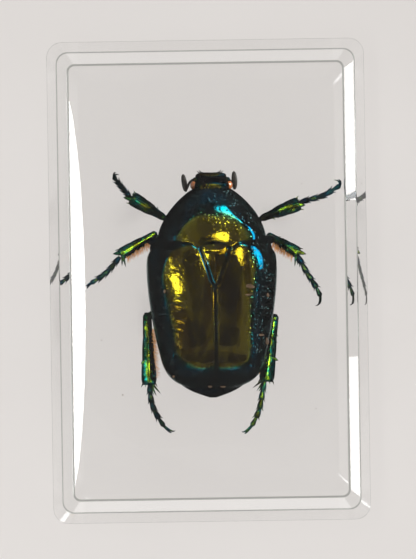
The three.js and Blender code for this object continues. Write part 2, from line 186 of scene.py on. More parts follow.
def calculate(tree, operation, first, second, clamp=False):
    inputs = {0: first, 1: second}
    return add_node(tree, "Math", inputs, operation=operation, use_clamp=clamp).outputs["Value"]


def scaled(tree, vector, factors):
    """A vector or colour with each of its parts scaled by its own factor."""
    inputs = {0: vector, 1: factors}
    return add_node(tree, "VectorMath", inputs, operation="MULTIPLY").outputs["Vector"]


def mapped(tree, value, span, result=(0.0, 1.0), kind="LINEAR"):
    """A value mapped from one span onto another, and kept within it."""
    inputs = {"Value": value, "From Min": span[0], "From Max": span[1], "To Min": result[0],
              "To Max": result[1]}
    return add_node(tree, "MapRange", inputs, interpolation_type=kind).outputs["Result"]


def noise(tree, vector, scale, detail, roughness=0.5, distortion=0.0):
    inputs = {"Vector": vector, "Scale": scale, "Detail": detail, "Roughness": roughness,
              "Distortion": distortion}
    return add_node(tree, "TexNoise", inputs).outputs["Fac"]


def colour_ramp(tree, factor, stops, interpolation="LINEAR"):
    """A ramp through stops, each a position and a colour."""
    node = add_node(tree, "ValToRGB", {"Fac": factor})
    node.color_ramp.interpolation = interpolation
    elements = node.color_ramp.elements
    while len(elements) < len(stops):
        elements.new(0.5)
    for element, (position, colour) in zip(elements, stops):
        element.position = position
        element.color = (*colour, 1.0)
    return node.outputs["Color"]


def object_place(tree):
    return add_node(tree, "TexCoord", {}).outputs["Object"]


def new_group(name, inputs, outputs):
    """A shader node group whose inputs are given by their defaults, and its outputs by their kinds."""
    tree = bpy.data.node_groups.new(name, "ShaderNodeTree")
    for label, default in inputs.items():
        kind = "NodeSocketFloat" if isinstance(default, float) else "NodeSocketVector"
        tree.interface.new_socket(label, in_out="INPUT", socket_type=kind).default_value = default
    for label, kind in outputs.items():
        tree.interface.new_socket(label, in_out="OUTPUT", socket_type=kind)
    return tree, tree.nodes.new("NodeGroupInput").outputs, tree.nodes.new("NodeGroupOutput")


# Grain of the painted sheen's mottle and stains on the wing covers, in waves per metre.
MOTTLE_SCALE = 600.0
STAIN_SCALE = 330.0


def painted_sheen_group():
    """Painted sheen and shade keyed to slope against world up: gold facing up, through green and blue, to
    dark flanks.
    """
    name = "Shell Sheen"
    if name in bpy.data.node_groups:
        return bpy.data.node_groups[name]
    colours = settings().colours
    tree, given, out = new_group(
        name,
        {"Turn": 0.0, "Spread": 1.0, "Mottle": 0.02, "Mottle Scale": MOTTLE_SCALE, "Stain": 0.6,
         "Stain Scale": STAIN_SCALE, "Gain": (1.0, 1.0, 1.0)},
        {"Color": "NodeSocketColor", "Slope": "NodeSocketFloat"},
    )
    normal = add_node(tree, "NewGeometry", {}).outputs["Normal"]
    facing_up = add_node(tree, "VectorMath", {0: normal, 1: UP}, operation="DOT_PRODUCT").outputs["Value"]
    turned_away = calculate(tree, "SUBTRACT", 1.0, facing_up)
    spread = calculate(tree, "MULTIPLY", turned_away, given["Spread"])
    slope = calculate(tree, "SUBTRACT", calculate(tree, "ADD", given["Turn"], 1.0), spread)
    place = object_place(tree)
    centred = calculate(tree, "SUBTRACT", noise(tree, place, given["Mottle Scale"], 4.0, 0.6), 0.5)
    mottle = calculate(tree, "MULTIPLY", centred, given["Mottle"])
    # The ramp paints the shell's iridescence by slope rather than by view, and paints the steep flanks
    # near-black as shade.
    shade = colour_ramp(tree, calculate(tree, "ADD", slope, mottle, clamp=True), [
        (0.0, colours.flank), (0.62, colours.flank), (0.78, colours.night), (0.89, colours.blue),
        (0.925, colours.teal), (0.938, colours.green), (0.952, colours.olive), (1.0, colours.gold),
    ])
    cloud = noise(tree, scaled(tree, place, (1.0, 0.45, 1.0)), given["Stain Scale"], 6.0, 0.6, 0.8)
    patch = mapped(tree, cloud, (0.44, 0.56), kind="SMOOTHSTEP")
    share = calculate(tree, "MULTIPLY", patch, given["Stain"])
    stained = add_node(tree, "Mix", {"Factor": share, "A": shade, "B": (*colours.bronze, 1)},
                       data_type="RGBA", blend_type="MULTIPLY")
    feed(out, {"Color": scaled(tree, stained.outputs["Result"], given["Gain"]), "Slope": slope})
    return tree


def puncture_group():
    """Fine pits in a hard shell, with a soft unevenness under them."""
    name = "Fine Punctures"
    if name in bpy.data.node_groups:
        return bpy.data.node_groups[name]
    tree, given, out = new_group(
        name,
        {"Density": 3000.0, "Depth": 1.0, "Unevenness": 0.4},
        {"Height": "NodeSocketFloat", "Pit": "NodeSocketFloat"},
    )
    place = object_place(tree)
    cells = add_node(tree, "TexVoronoi", {"Vector": place, "Scale": given["Density"]}, feature="F1")
    pit = mapped(tree, cells.outputs["Distance"], (0.12, 0.34), (1.0, 0.0), "SMOOTHSTEP")
    waves = noise(tree, scaled(tree, place, (1.5, 0.6, 1.5)), 700.0, 6.0, 0.62)
    soft = calculate(tree, "MULTIPLY", waves, given["Unevenness"])
    deep = calculate(tree, "MULTIPLY", pit, given["Depth"])
    feed(out, {"Height": calculate(tree, "SUBTRACT", soft, deep), "Pit": pit})
    return tree


def new_material(name):
    material = bpy.data.materials.new(name)
    material.use_nodes = True
    return material, material.node_tree, material.node_tree.nodes["Principled BSDF"]


PIT_DEPTH = 0.02 * MM
PIT_ROUGHNESS = 0.15
# Cosines of the slopes between which the pits reach their full depth, and their full painted glint.
PIT_SLOPES = (0.972, 0.89)
PAINTED_GLINT_SLOPES = (0.93, 0.80)
GRAZING_TINT = (0.25, 0.3, 0.3, 1)


def shell_material(name, turn=0.0, spread=1.0, mottle=0.03, depth=0.3, slope_depth=1.0, unevenness=0.4,
                   roughness=0.06, stain=0.6, gain=(1, 1, 1), grain=1.0, painted_glint=0.0):
    """Metallic shell. The pits are deeper where the shell slopes, as they are on the real one."""
    if name in bpy.data.materials:
        return bpy.data.materials[name]
    material, tree, shader = new_material(name)
    painted_sheen = add_node(tree, "Group", {
        "Turn": turn, "Spread": spread, "Mottle": mottle, "Mottle Scale": MOTTLE_SCALE * grain,
        "Stain": stain, "Stain Scale": STAIN_SCALE * grain, "Gain": gain,
    }, node_tree=painted_sheen_group()).outputs
    pits = add_node(tree, "Group", {
        "Density": 1 / settings().beetle.puncture_spacing, "Unevenness": unevenness,
        "Depth": mapped(tree, painted_sheen["Slope"], PIT_SLOPES, (depth, slope_depth)),
    }, node_tree=puncture_group()).outputs
    # Painted glint: pits on steep parts take a pale colour that stands in for sparkles of light.
    steep = mapped(tree, painted_sheen["Slope"], PAINTED_GLINT_SLOPES, (0.0, painted_glint))
    painted_glint_colour = add_node(tree, "Mix", {
        "Factor": calculate(tree, "MULTIPLY", steep, pits["Pit"]), "A": painted_sheen["Color"],
        "B": (*settings().colours.painted_glint, 1),
    }, data_type="RGBA")
    relief = add_node(tree, "Bump", {"Distance": PIT_DEPTH, "Height": pits["Height"]})
    feed(shader, {
        "Base Color": painted_glint_colour.outputs["Result"], "Metallic": 1.0, "Specular Tint": GRAZING_TINT,
        "Roughness": mapped(tree, pits["Pit"], (0.0, 1.0), (roughness, roughness + PIT_ROUGHNESS)),
        "Normal": relief.outputs["Normal"],
    })
    return material


def plain_material(name, colour, roughness, variation=0.25, scale=1500.0, bump=0.2, **sockets):
    """A natural finish: one colour with a fine variation and grain."""
    if name in bpy.data.materials:
        return bpy.data.materials[name]
    material, tree, shader = new_material(name)
    grain = noise(tree, object_place(tree), scale, 5.0)
    shades = [(position, [min(1.0, value * share) for value in colour])
              for position, share in ((0.3, 1 - variation), (0.7, 1 + variation))]
    relief = add_node(tree, "Bump", {"Strength": bump, "Distance": 0.05 * MM, "Height": grain})
    feed(shader, {"Base Color": colour_ramp(tree, grain, shades), "Roughness": roughness,
                  "Normal": relief.outputs["Normal"]})
    feed(shader, {socket.replace("_", " "): value for socket, value in sockets.items()})
    return material


def horn_material():
    return plain_material("Horn", settings().colours.horn, 0.4, Specular_IOR_Level=0.15)


def resin_material(name, tint=1.0, roughness=0.0):
    block = settings().block
    material, tree, shader = new_material(name)
    feed(shader, {"Base Color": (tint, tint, tint, 1), "Roughness": roughness, "IOR": block.ior,
                  "Transmission Weight": 1.0})
    absorb = add_node(tree, "VolumeAbsorption", {"Color": (*block.tint, 1), "Density": block.absorption})
    feed(tree.nodes["Material Output"], {"Volume": absorb.outputs["Volume"]})
    return material


# ---- mesh helpers


def curve_through(stations, values, at):
    """A smooth curve through stations with no overshoot (monotone cubic)."""
    x, y = np.asarray(stations, float), np.asarray(values, float)
    order = np.argsort(x)
    x, y = x[order], y[order]
    step = np.diff(x)
    rise = np.diff(y) / step
    slope = np.concatenate([[rise[0]], (rise[:-1] + rise[1:]) / 2, [rise[-1]]])
    slope[1:-1][rise[:-1] * rise[1:] <= 0] = 0
    for i, value in enumerate(rise):
        if value == 0:
            slope[i] = slope[i + 1] = 0
            continue
        a, b = slope[i] / value, slope[i + 1] / value
        length = math.hypot(a, b)
        if length > 3:
            slope[i], slope[i + 1] = 3 * a / length * value, 3 * b / length * value
    at = np.clip(np.asarray(at, float), x[0], x[-1])
    i = np.clip(np.searchsorted(x, at, side="right") - 1, 0, len(step) - 1)
    t = (at - x[i]) / step[i]
    return (y[i] * (1 + 2 * t) * (1 - t) ** 2 + slope[i] * step[i] * t * (1 - t) ** 2
            + y[i + 1] * t * t * (3 - 2 * t) + slope[i + 1] * step[i] * t * t * (t - 1))


def table_curve(table, column, at):
    """Reads one column of a table whose first column is the station."""
    rows = np.array(table, float)
    return curve_through(rows[:, 0], rows[:, column], at)


def bump_at(value, centre, width):
    return np.exp(-((value - centre) / width) ** 2)


def lean(points):
    """From the beetle's body frame (mm) to the block's frame (mm)."""
    beetle = settings().beetle
    points = np.asarray(points, float)
    cos, sin = math.cos(beetle.roll), math.sin(beetle.roll)
    x = points[..., 0] * cos + points[..., 2] * sin + beetle.centre_x / MM
    z = points[..., 2] * cos - points[..., 0] * sin + beetle.edge_height / MM
    return np.stack([x, points[..., 1], z], axis=-1)


def circle(steps):
    """Angles evenly placed round a circle."""
    return np.arange(steps) / steps * 2 * math.pi


def unit(vectors):
    return vectors / np.linalg.norm(vectors, axis=-1, keepdims=True)


def quads(rows, columns):
    """Faces that join closed rows of points."""
    return [(r * columns + c, r * columns + (c + 1) % columns, (r + 1) * columns + (c + 1) % columns,
             (r + 1) * columns + c) for r in range(rows - 1) for c in range(columns)]


def add_object(name, data):
    thing = bpy.data.objects.new(name, data)
    bpy.context.scene.collection.objects.link(thing)
    return thing


class Shape:
    """Collects closed forms in millimetres and makes one mesh object of them."""

    def __init__(self):
        self.points = []
        self.faces = []
        self.count = 0

    def add(self, points, faces):
        self.points.append(np.asarray(points, float))
        self.faces.extend([tuple(i + self.count for i in face) for face in faces])
        self.count += len(points)

    def loft(self, rings):
        """Skins closed rings of equal length and caps both ends with fans."""
        rings = np.asarray(rings, float)
        rows, columns = rings.shape[:2]
        ends = np.array([rings[0].mean(axis=0), rings[-1].mean(axis=0)])
        first, last, end_row = rows * columns, rows * columns + 1, (rows - 1) * columns
        faces = quads(rows, columns)
        for c in range(columns):
            n = (c + 1) % columns
            faces += [(first, n, c), (last, end_row + c, end_row + n)]
        self.add(np.concatenate([rings.reshape(-1, 3), ends]), faces)

    def tube(self, path, half_widths, half_heights, sides=12, ridge=0.0):
        """A closed tube along a path, as wide and high as given at each point. It may have four ridges."""
        path = np.asarray(path, float)
        tangents = unit(np.gradient(path, axis=0))
        wide = unit(np.cross(UP, tangents))
        high = np.cross(tangents, wide)
        angle = circle(sides)
        swell = 1 + ridge * np.cos(angle * 4)
        across = np.cos(angle) * swell
        upward = np.sin(angle) * swell
        rings = (path[:, None, :]
                 + wide[:, None, :] * (np.asarray(half_widths)[:, None] * across)[..., None]
                 + high[:, None, :] * (np.asarray(half_heights)[:, None] * upward)[..., None])
        self.loft(rings)

    def spine(self, start, tip, thick, curve=(0, 0, 0), sides=6, steps=5):
        """A pointed spine from start to tip, bowed by the curve vector."""
        start, tip, curve = (np.asarray(p, float) for p in (start, tip, curve))
        t = np.linspace(0, 1, steps)[:, None]
        path = start + (tip - start) * t + curve * (4 * t * (1 - t))
        radii = thick * (1 - t[:, 0]) ** 0.7 + 0.008
        self.tube(path, radii, radii, sides=sides)

    def ball(self, centre, radii, rows=12, columns=20):
        """A rounded knob with its poles along Y."""
        theta = np.linspace(0.02, math.pi - 0.02, rows)
        phi = circle(columns)
        ring = np.stack([np.sin(theta)[:, None] * np.cos(phi), -np.cos(theta)[:, None] * np.ones(columns),
                         np.sin(theta)[:, None] * np.sin(phi)], axis=-1)
        self.loft(ring * np.asarray(radii, float) + np.asarray(centre, float))

    def build(self, name, material, smooth=True):
        points = np.concatenate(self.points) * MM
        mesh = bpy.data.meshes.new(name)
        mesh.from_pydata(points.tolist(), [], self.faces)
        mesh.validate()
        cleaner = bmesh.new()
        cleaner.from_mesh(mesh)
        bmesh.ops.recalc_face_normals(cleaner, faces=cleaner.faces)
        cleaner.to_mesh(mesh)
        cleaner.free()
        mesh.polygons.foreach_set("use_smooth", [smooth] * len(mesh.polygons))
        mesh.materials.append(material)
        return add_object(name, mesh)


def finish_piece(piece, slot, *nodes):
    """Rides a piece on the block's body, and hides the CAD nodes that it replaces. Its slot is not used."""
    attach(piece, BODY)
    if nodes:
        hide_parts(*nodes)


# ---- forms of the body (mm, body frame)

# Station along the body, half width, height of the middle line.
COVER_FORM = [
    (-9.98, 1.5, 0.5), (-9.8, 2.3, 1.3), (-9.45, 3.2, 2.15), (-9.0, 3.85, 2.85), (-8.6, 4.2, 3.25),
    (-8.2, 4.45, 3.5), (-7.6, 4.7, 3.72), (-6.6, 4.95, 3.95), (-5.0, 5.3, 4.12), (-3.0, 5.65, 4.2),
    (-1.0, 5.9, 4.22), (1.0, 6.02, 4.15), (2.2, 5.95, 4.06), (2.9, 5.6, 3.98), (3.3, 5.2, 3.9),
    (3.7, 4.6, 3.75),
]
# Station, and how far out the back of the left and the right cover turns over into the flank.
COVER_BACK = [
    (-9.98, 0.8, 0.8), (-9.0, 2.7, 2.6), (-7.6, 3.6, 3.25), (-5.2, 3.95, 3.15), (-3.0, 4.25, 3.15),
    (-1.0, 4.5, 3.4), (0.9, 4.8, 3.65), (2.6, 4.75, 3.3), (3.7, 3.9, 2.9),
]
# Share of that distance, and how far the left and the right back lean outward there, in degrees.
COVER_LEAN = [(0.0, -3.0, -8.0), (0.18, -1.0, -7.0), (0.42, 4.5, -5.5), (0.62, 9.5, -2.5),
              (0.8, 15.5, 5.0), (1.0, 24.5, 15.5)]
# Short slanting folds on the covers' outer back: station, distance from the middle line, height.
COVER_FOLDS = [
    (-1.35, 3.35, 0.028), (-2.0, 3.5, 0.035), (-2.6, 3.3, 0.030), (-3.8, 3.45, 0.022), (-4.5, 3.4, 0.020),
    (-6.1, 3.3, 0.020), (0.9, 3.9, 0.03),
]
# Low humps and hollows of the covers: height, then the distance from the middle line and the station,
# each with its spread.
COVER_HUMPS = [
    (0.035, 4.3, 0.7, 1.9, 0.8), (-0.018, 2.3, 0.5, 2.6, 0.4), (0.06, 0.31, 0.13, -0.52, 0.13),
    (0.04, 3.0, 0.9, -7.3, 0.8),
]
# Shallow dents in the covers' front part: distance from the middle line, station, size.
COVER_DENTS = [
    (3.05, 0.95, 0.16), (3.55, 0.75, 0.20), (3.2, 0.35, 0.15), (3.8, 0.25, 0.18), (3.45, 0.10, 0.12),
    (2.95, 0.55, 0.12), (3.9, 0.95, 0.15), (4.15, 0.55, 0.14), (3.3, 1.35, 0.14), (4.3, 1.4, 0.16),
    (2.7, 1.75, 0.18), (2.2, 1.9, 0.16), (3.6, 1.85, 0.15), (1.7, 1.55, 0.14),
]
# Station, half width, height of the side edge, share of the width where the flank begins.
SHIELD_FORM = [
    (3.3, 4.93, 0.5, 0.70), (3.9, 4.98, 0.6, 0.70), (4.8, 4.8, 0.75, 0.62), (5.5, 4.5, 0.85, 0.50),
    (6.2, 4.1, 0.95, 0.36), (6.9, 3.55, 1.05, 0.3), (7.6, 2.88, 1.1, 0.3), (8.2, 2.15, 1.15, 0.3),
    (8.45, 1.75, 1.2, 0.3),
]
# The shield's dome: its crest, and how far from it the slope reaches 20 degrees each way, from the
# gentle slope that it has at the hind edge.
SHIELD_DOME = {"x": 0.5, "y": 3.46, "z": 4.2, "reach_x": 3.6, "reach_y": 2.64, "lean": math.radians(20),
               "hind_lean": math.radians(5)}
# Belly and head: station, half width, upper height, lower height.
BELLY_FORM = [
    (-10.78, 0.3, -0.3, -1.1), (-10.55, 1.0, 0.05, -1.5), (-10.2, 1.9, 0.3, -1.8), (-9.6, 2.9, 0.1, -2.0),
    (-8.8, 3.75, -0.1, -2.2), (-7.2, 4.45, -0.2, -2.6), (-4.5, 5.1, -0.2, -3.0), (-1.5, 5.5, -0.2, -3.2),
    (1.0, 5.6, -0.2, -3.2), (3.2, 5.0, -0.2, -3.0), (4.6, 4.4, -0.2, -2.75), (6.2, 3.6, -0.2, -2.4),
    (7.4, 2.4, -0.2, -1.9), (8.1, 1.3, -0.35, -1.2),
]
HEAD_FORM = [
    (7.9, 1.35, 1.95, 0.2), (8.4, 1.62, 2.1, 0.0), (8.85, 1.66, 2.08, -0.1), (9.15, 1.5, 1.92, -0.15),
    (9.4, 1.38, 1.72, -0.15), (9.7, 1.42, 1.5, -0.05), (9.9, 1.38, 1.36, 0.15), (9.98, 1.28, 1.2, 0.4),
]
# Stations of the scutellum's front, base and tip, and its half width at the base and near the tip.
SCUTELLUM = {"front": 3.35, "base": 1.32, "base_y": 2.85, "tip": -0.42, "tip_half": 0.30}
# Station of the shield's hind edge, and how far below it the covers lie.
HIND_MARGIN = 3.46
MARGIN_STEP = 0.06


def hind_margin(x):
    """The shield's hind edge: a lobe each side of the scutellum and a notch before it."""
    return HIND_MARGIN - 0.5 * bump_at(np.abs(x), 1.5, 0.55) + 0.0085 * x * x


def shield_height(x, y, width, edge, turn):
    """Height of the shield's dome, which turns over into its flanks near its sides."""
    dome = SHIELD_DOME

    def crown(x):
        sides = np.abs(x - dome["x"]) ** 2.4 / (2.4 * dome["reach_x"] ** 1.4)
        ahead = np.maximum(y - dome["y"], 0)
        hind, front = math.tan(dome["hind_lean"]), math.tan(dome["lean"])
        ends = hind * ahead + (front - hind) * ahead ** 2 / (2 * dome["reach_y"])
        return dome["z"] - front * sides - ends

    flank = np.clip((np.abs(x) / width - turn) / (1 - turn), 0, 1)
    return crown(x) - (crown(np.sign(x) * width) - edge) * (1 - np.sqrt(1 - flank ** 2))


def under_margin(z, x, y):
    """Presses a cover's base down to just below the shield's hind edge."""
    width, edge, turn = (float(table_curve(SHIELD_FORM, column, HIND_MARGIN)) for column in (1, 2, 3))
    margin = hind_margin(x)
    lid = shield_height(x, margin, width, edge, turn) - MARGIN_STEP + 0.8 * np.maximum(margin - y, 0)
    softness = 14
    return -np.log(np.exp(-softness * z) + np.exp(-softness * lid)) / softness


def back_fall(share, side):
    """How far a cover's back has fallen at shares of the way out to the flank, for a way of 1 mm."""
    count = 200
    steps = np.linspace(0, 1, count + 1)
    lean_there = np.radians(table_curve(COVER_LEAN, 1 if side < 0 else 2, steps))
    fall = np.concatenate([[0], np.cumsum(np.tan((lean_there[1:] + lean_there[:-1]) / 2)) / count])
    return np.interp(np.clip(share, 0, 1), steps, fall)


def cover_height(out, y, side):
    """Height of a wing cover without its relief, at a distance from the middle line."""
    width, top = table_curve(COVER_FORM, 1, y), table_curve(COVER_FORM, 2, y)
    column = 1 if side < 0 else 2
    back = table_curve(COVER_BACK, column, y)
    brink = top - back * back_fall(1.0, side)
    lean_there = math.tan(math.radians(COVER_LEAN[-1][column]))
    flank = np.clip((out - back) / (width - back), 0, 1)
    drop = np.minimum(lean_there * (width - back), brink * 0.9)
    steep = (brink - drop * flank * (1 - flank)) * np.sqrt(1 - flank ** 2.2)
    return np.where(out < back, top - back * back_fall(out / back, side), steep)


def scutellum_half(y):
    """Half width of the long triangle at y: hollow sides, rounded tip."""
    s = SCUTELLUM
    share = np.clip((np.asarray(y, float) - s["tip"]) / (s["base_y"] - s["tip"]), 0, 1)
    sides = s["tip_half"] + (s["base"] - s["tip_half"]) * share ** 1.15
    return sides * np.clip(share / 0.14, 0, 1) ** 0.5


def cover_relief(x, y, side):
    """Height added to the smooth form of a wing cover: ridges, humps, hollows and folds."""
    out = np.abs(x)
    # A ridge along the seam behind the scutellum, and a slanting fold at its side.
    behind = 1 / (1 + np.exp((y + 0.6) / 0.25))
    relief = 0.03 * bump_at(out, 0.16, 0.07) * behind
    relief += 0.012 * bump_at(out, 1.75, 0.35) * bump_at(y - 0.35 * (out - 1.75), 2.35, 0.16)
    for height, hump_out, spread_out, hump_y, spread_y in COVER_HUMPS:
        relief += height * bump_at(out, hump_out, spread_out) * bump_at(y, hump_y, spread_y)
    for dent_out, dent_y, size in COVER_DENTS:
        relief -= 0.05 * size * bump_at(out, dent_out, size) * bump_at(y, dent_y, size)
    for fold_y, fold_out, height in COVER_FOLDS:
        across = y - fold_y - 0.25 * (out - fold_out)
        relief += height * bump_at(across, 0, 0.13) * bump_at(out, fold_out, 0.45)
    waviness = 0.006 * np.sin(y * 2.1 + out * 1.7 + side) * bump_at(out, 2.2, 1.6)
    return relief + waviness


def groove(from_edge, depth, width=0.055):
    """The fine groove along an edge where two plates meet."""
    return -depth * bump_at(from_edge, 0, width)


def cover_rings(side, rows=280, columns=150):
    """Sections of a wing cover from its tail to its base, with most points near its inner edge."""
    y = np.linspace(COVER_FORM[0][0], COVER_FORM[-1][0], rows)
    width = table_curve(COVER_FORM, 1, y)
    inner = np.maximum(0.02, scutellum_half(y) + 0.03 * (y > SCUTELLUM["tip"]))
    linear = np.linspace(0, 1, columns)
    inner_share = (inner / width)[:, None]
    share = inner_share + (1 - inner_share) * np.sin(linear * math.pi / 2)[None, :] ** 1.5
    x = share * width[:, None]
    along = np.broadcast_to(y[:, None], x.shape)
    z = cover_height(x, along, side)
    z += cover_relief(x, y[:, None], side) * np.clip((1 - share) / 0.15, 0, 1)
    z += groove(x - inner[:, None], 0.15)
    z += 0.03 * bump_at(x - inner[:, None], 0.17, 0.07) * (along > SCUTELLUM["tip"])
    z = under_margin(z, x * side, along)
    z[:, -1] = 0.0
    # The flat underside runs back from the rim to the inner wall.
    under = ((x[:, -1] * 0.97, -0.22), (x[:, -1] * 0.75, -0.1), (inner, -0.1), (inner, z[:, 0] - 0.45))
    for place, height in under:
        x = np.column_stack([x, place])
        z = np.column_stack([z, np.broadcast_to(height, rows)])
    return lean(np.stack([x * side, np.broadcast_to(y[:, None], x.shape), z], axis=-1))


def make_covers():
    material = shell_material("Wing Cover", depth=0.14, slope_depth=2.0, stain=0.9, unevenness=1.3,
                              painted_glint=0.42)
    for side, word in ((-1, "left"), (1, "right")):
        shape = Shape()
        shape.loft(cover_rings(side))
        finish_piece(shape.build(f"wing_cover_{word}", material), "wing_cover", f"elytron_{word}")


def make_scutellum(rows=90, columns=65):
    shape = Shape()
    y = np.linspace(SCUTELLUM["tip"] + 0.004, SCUTELLUM["front"], rows)
    half = np.maximum(scutellum_half(y), 0.02)
    across = np.sin(np.linspace(-1, 1, columns) * math.pi / 2)
    x = across[None, :] * half[:, None]
    along = np.broadcast_to(y[:, None], x.shape)
    beside = np.where(x < 0, cover_height(-x, along, -1), cover_height(x, along, 1))
    # Towards its front it levels out at the height of the middle line.
    flat = np.clip((along - 1.7) / 0.8, 0, 1) ** 2
    z = beside + (cover_height(0 * x, along, 1) - beside) * flat + 0.02
    from_edge = half[:, None] - np.abs(x)
    z += groove(from_edge, 0.15)
    z += 0.03 * bump_at(from_edge, 0.16, 0.065)
    # A hump across its front, a trough along it, and a tip that dips between the covers.
    z += 0.062 * bump_at(along, 2.75, 0.35) * bump_at(x, -0.05, 0.7)
    z -= 0.03 * bump_at(across[None, :], 0, 0.5)
    z -= 0.05 * np.clip(1 - (y - SCUTELLUM["tip"]) / 0.2, 0, 1)[:, None] ** 2
    z = under_margin(z, x, along)
    top_side = np.stack([x, along, z], axis=-1)
    shape.loft(lean(np.concatenate([top_side, top_side[:, ::-1] - UP * 0.5], axis=1)))
    material = shell_material("Scutellum", mottle=0.02, depth=0.15, slope_depth=0.3, stain=0.9)
    finish_piece(shape.build("scutellum_plate", material), "wing_cover", "scutellum")


def make_shield(rows=150, columns=140):
    start, end = SHIELD_FORM[0][0], SHIELD_FORM[-1][0]
    y0 = np.linspace(HIND_MARGIN, end, rows)
    linear = np.linspace(-1, 1, columns)
    share = np.sign(linear) * np.sin(np.abs(linear) * math.pi / 2) ** 1.1
    width, edge, turn = (table_curve(SHIELD_FORM, column, y0)[:, None] for column in (1, 2, 3))
    x = share * width
    # The rows of the hind half bend to the lobed hind edge.
    along = ((y0 - start) / (end - start))[:, None]
    y = y0[:, None] + (hind_margin(x) - HIND_MARGIN) * np.clip(1 - along / 0.5, 0, 1) ** 2
    z = shield_height(x, y, width, edge, turn)
    from_hind = y - hind_margin(x)
    z += groove(from_hind, 0.13)
    z += 0.02 * bump_at(from_hind, 0.15, 0.065) * bump_at(np.abs(x), 0, 3.5)
    rim = 0.07 * bump_at(width * (1 - np.abs(share)), 0.02, 0.10)
    z += rim
    top_side = np.stack([x, y, z], axis=-1)
    low = top_side[:, ::-1].copy()
    low[..., 0] *= 0.93
    low[..., 2] = np.minimum(low[..., 2] - 0.4, low[..., 2] * 0.6) - 0.05
    shape = Shape()
    shape.loft(lean(np.concatenate([top_side, low[:, 1:-1]], axis=1)))
    material = shell_material("Shield", depth=0.13, slope_depth=1.6, painted_glint=0.5)
    finish_piece(shape.build("pronotum_shield", material), "shield", "pronotum")


def body_rings(form, rows, columns, square=2.4, relief=None):
    """Closed rings with their widest points between the upper and the lower height."""
    y = np.linspace(form[0][0], form[-1][0], rows)
    width, top, bottom = (table_curve(form, column, y)[:, None] for column in (1, 2, 3))
    middle = np.where(top > 1, (top + bottom) / 2, np.minimum(top - 0.15, -0.5))
    angle = circle(columns)
    side = np.sign(np.cos(angle)) * np.abs(np.cos(angle)) ** (2 / square)
    up = np.sign(np.sin(angle)) * np.abs(np.sin(angle)) ** (2 / square)
    x = side * width
    z = np.where(up > 0, middle + up * (top - middle), middle + up * (middle - bottom))
    rings = np.stack([x, np.broadcast_to(y[:, None], x.shape), z], axis=-1)
    if relief is not None:
        rings = relief(rings, side[None, :], up[None, :])
    return rings


def belly_relief(rings, side, up):
    """Seams between the belly plates and a groove along the breast."""
    y = rings[..., 1]
    below = np.clip(-up, 0, 1)
    for seam in (-9.0, -7.7, -6.4, -5.1, -3.8, 2.6):
        rings[..., 2] += 0.12 * bump_at(y, seam, 0.09) * below
    rings[..., 2] += 0.10 * bump_at(rings[..., 0], 0, 0.25) * below * (y > -3.4)
    return rings


def make_belly():
    shape = Shape()
    shape.loft(lean(body_rings(BELLY_FORM, 130, 64, relief=belly_relief)))
    for side in (-1, 1):
        shape.ball(lean((side * 5.3, 3.72, 0.25)), (0.62, 0.42, 0.75))
        shape.ball(lean((side * 4.9, 3.0, -0.5)), (0.75, 0.9, 0.7))
        for y, reach, size in ((5.0, 1.5, 0.8), (1.6, 2.0, 0.95), (-2.0, 2.2, 1.0)):
            shape.ball(lean((side * reach, y, -2.75)), (size * 1.3, size * 0.7, 0.62))
    material = shell_material("Underside", turn=-0.2, mottle=0.1, depth=0.5, slope_depth=0.8,
                              roughness=0.16)
    finish_piece(shape.build("underbody_plates", material), "underside", "underbody")


# ---- head and antennae


def head_relief(rings, side, up):
    """A raised rim round the face plate and a dip behind it."""
    y, x = rings[..., 1], rings[..., 0]
    above = np.clip(up, 0, 1)
    rings[..., 2] -= 0.16 * bump_at(y, 9.55, 0.22) * bump_at(x, 0, 0.85) * above
    rings[..., 2] += 0.07 * bump_at(y, 9.9, 0.07) * above
    rings[..., 2] += 0.05 * bump_at(y, 9.15, 0.2) * bump_at(x, 0, 0.4) * above
    rings[..., 1] -= 0.12 * np.abs(side) ** 3 * np.clip((y - 9.3) / 0.6, 0, 1)
    rings[..., 1] -= 0.03 * bump_at(x, 0, 0.35) * np.clip((y - 9.7) / 0.25, 0, 1)
    return rings


def make_head():
    shape = Shape()
    shape.loft(lean(body_rings(HEAD_FORM, 70, 56, square=3.0, relief=head_relief)))
    for side in (-1, 1):
        shape.ball(lean((side * 1.46, 9.28, 1.25)), (0.28, 0.26, 0.2))
    material = shell_material("Head", turn=-0.03, spread=0.8, mottle=0.10, depth=0.9, slope_depth=1.2,
                              roughness=0.2, stain=1.0, gain=(0.35, 0.35, 0.35))
    finish_piece(shape.build("head_capsule", material), "shield", "head")

    eyes = Shape()
    for side in (-1, 1):
        eyes.ball(lean((side * 1.6, 8.78, 1.15)), (0.36, 0.42, 0.42), rows=18, columns=24)
    eye = plain_material("Eye", settings().colours.eye, 0.2, variation=0.4, scale=4000.0, Coat_Weight=0.6)
    finish_piece(eyes.build("eyes", eye), "feeler")

    mouth = Shape()
    for side in (-1, 1):
        root = np.array((side * 0.75, 9.75, 0.1))
        for i, (dx, dy) in enumerate(((0.28, 0.5), (0.5, 0.42), (0.12, 0.42))):
            tip = root + np.array((side * dx, dy, -0.25 - 0.1 * i))
            mouth.spine(lean(root), lean(tip), 0.07)
        mouth.ball(lean(root), (0.25, 0.3, 0.2), rows=8, columns=12)
    finish_piece(mouth.build("mouth_parts", horn_material()), "feeler")


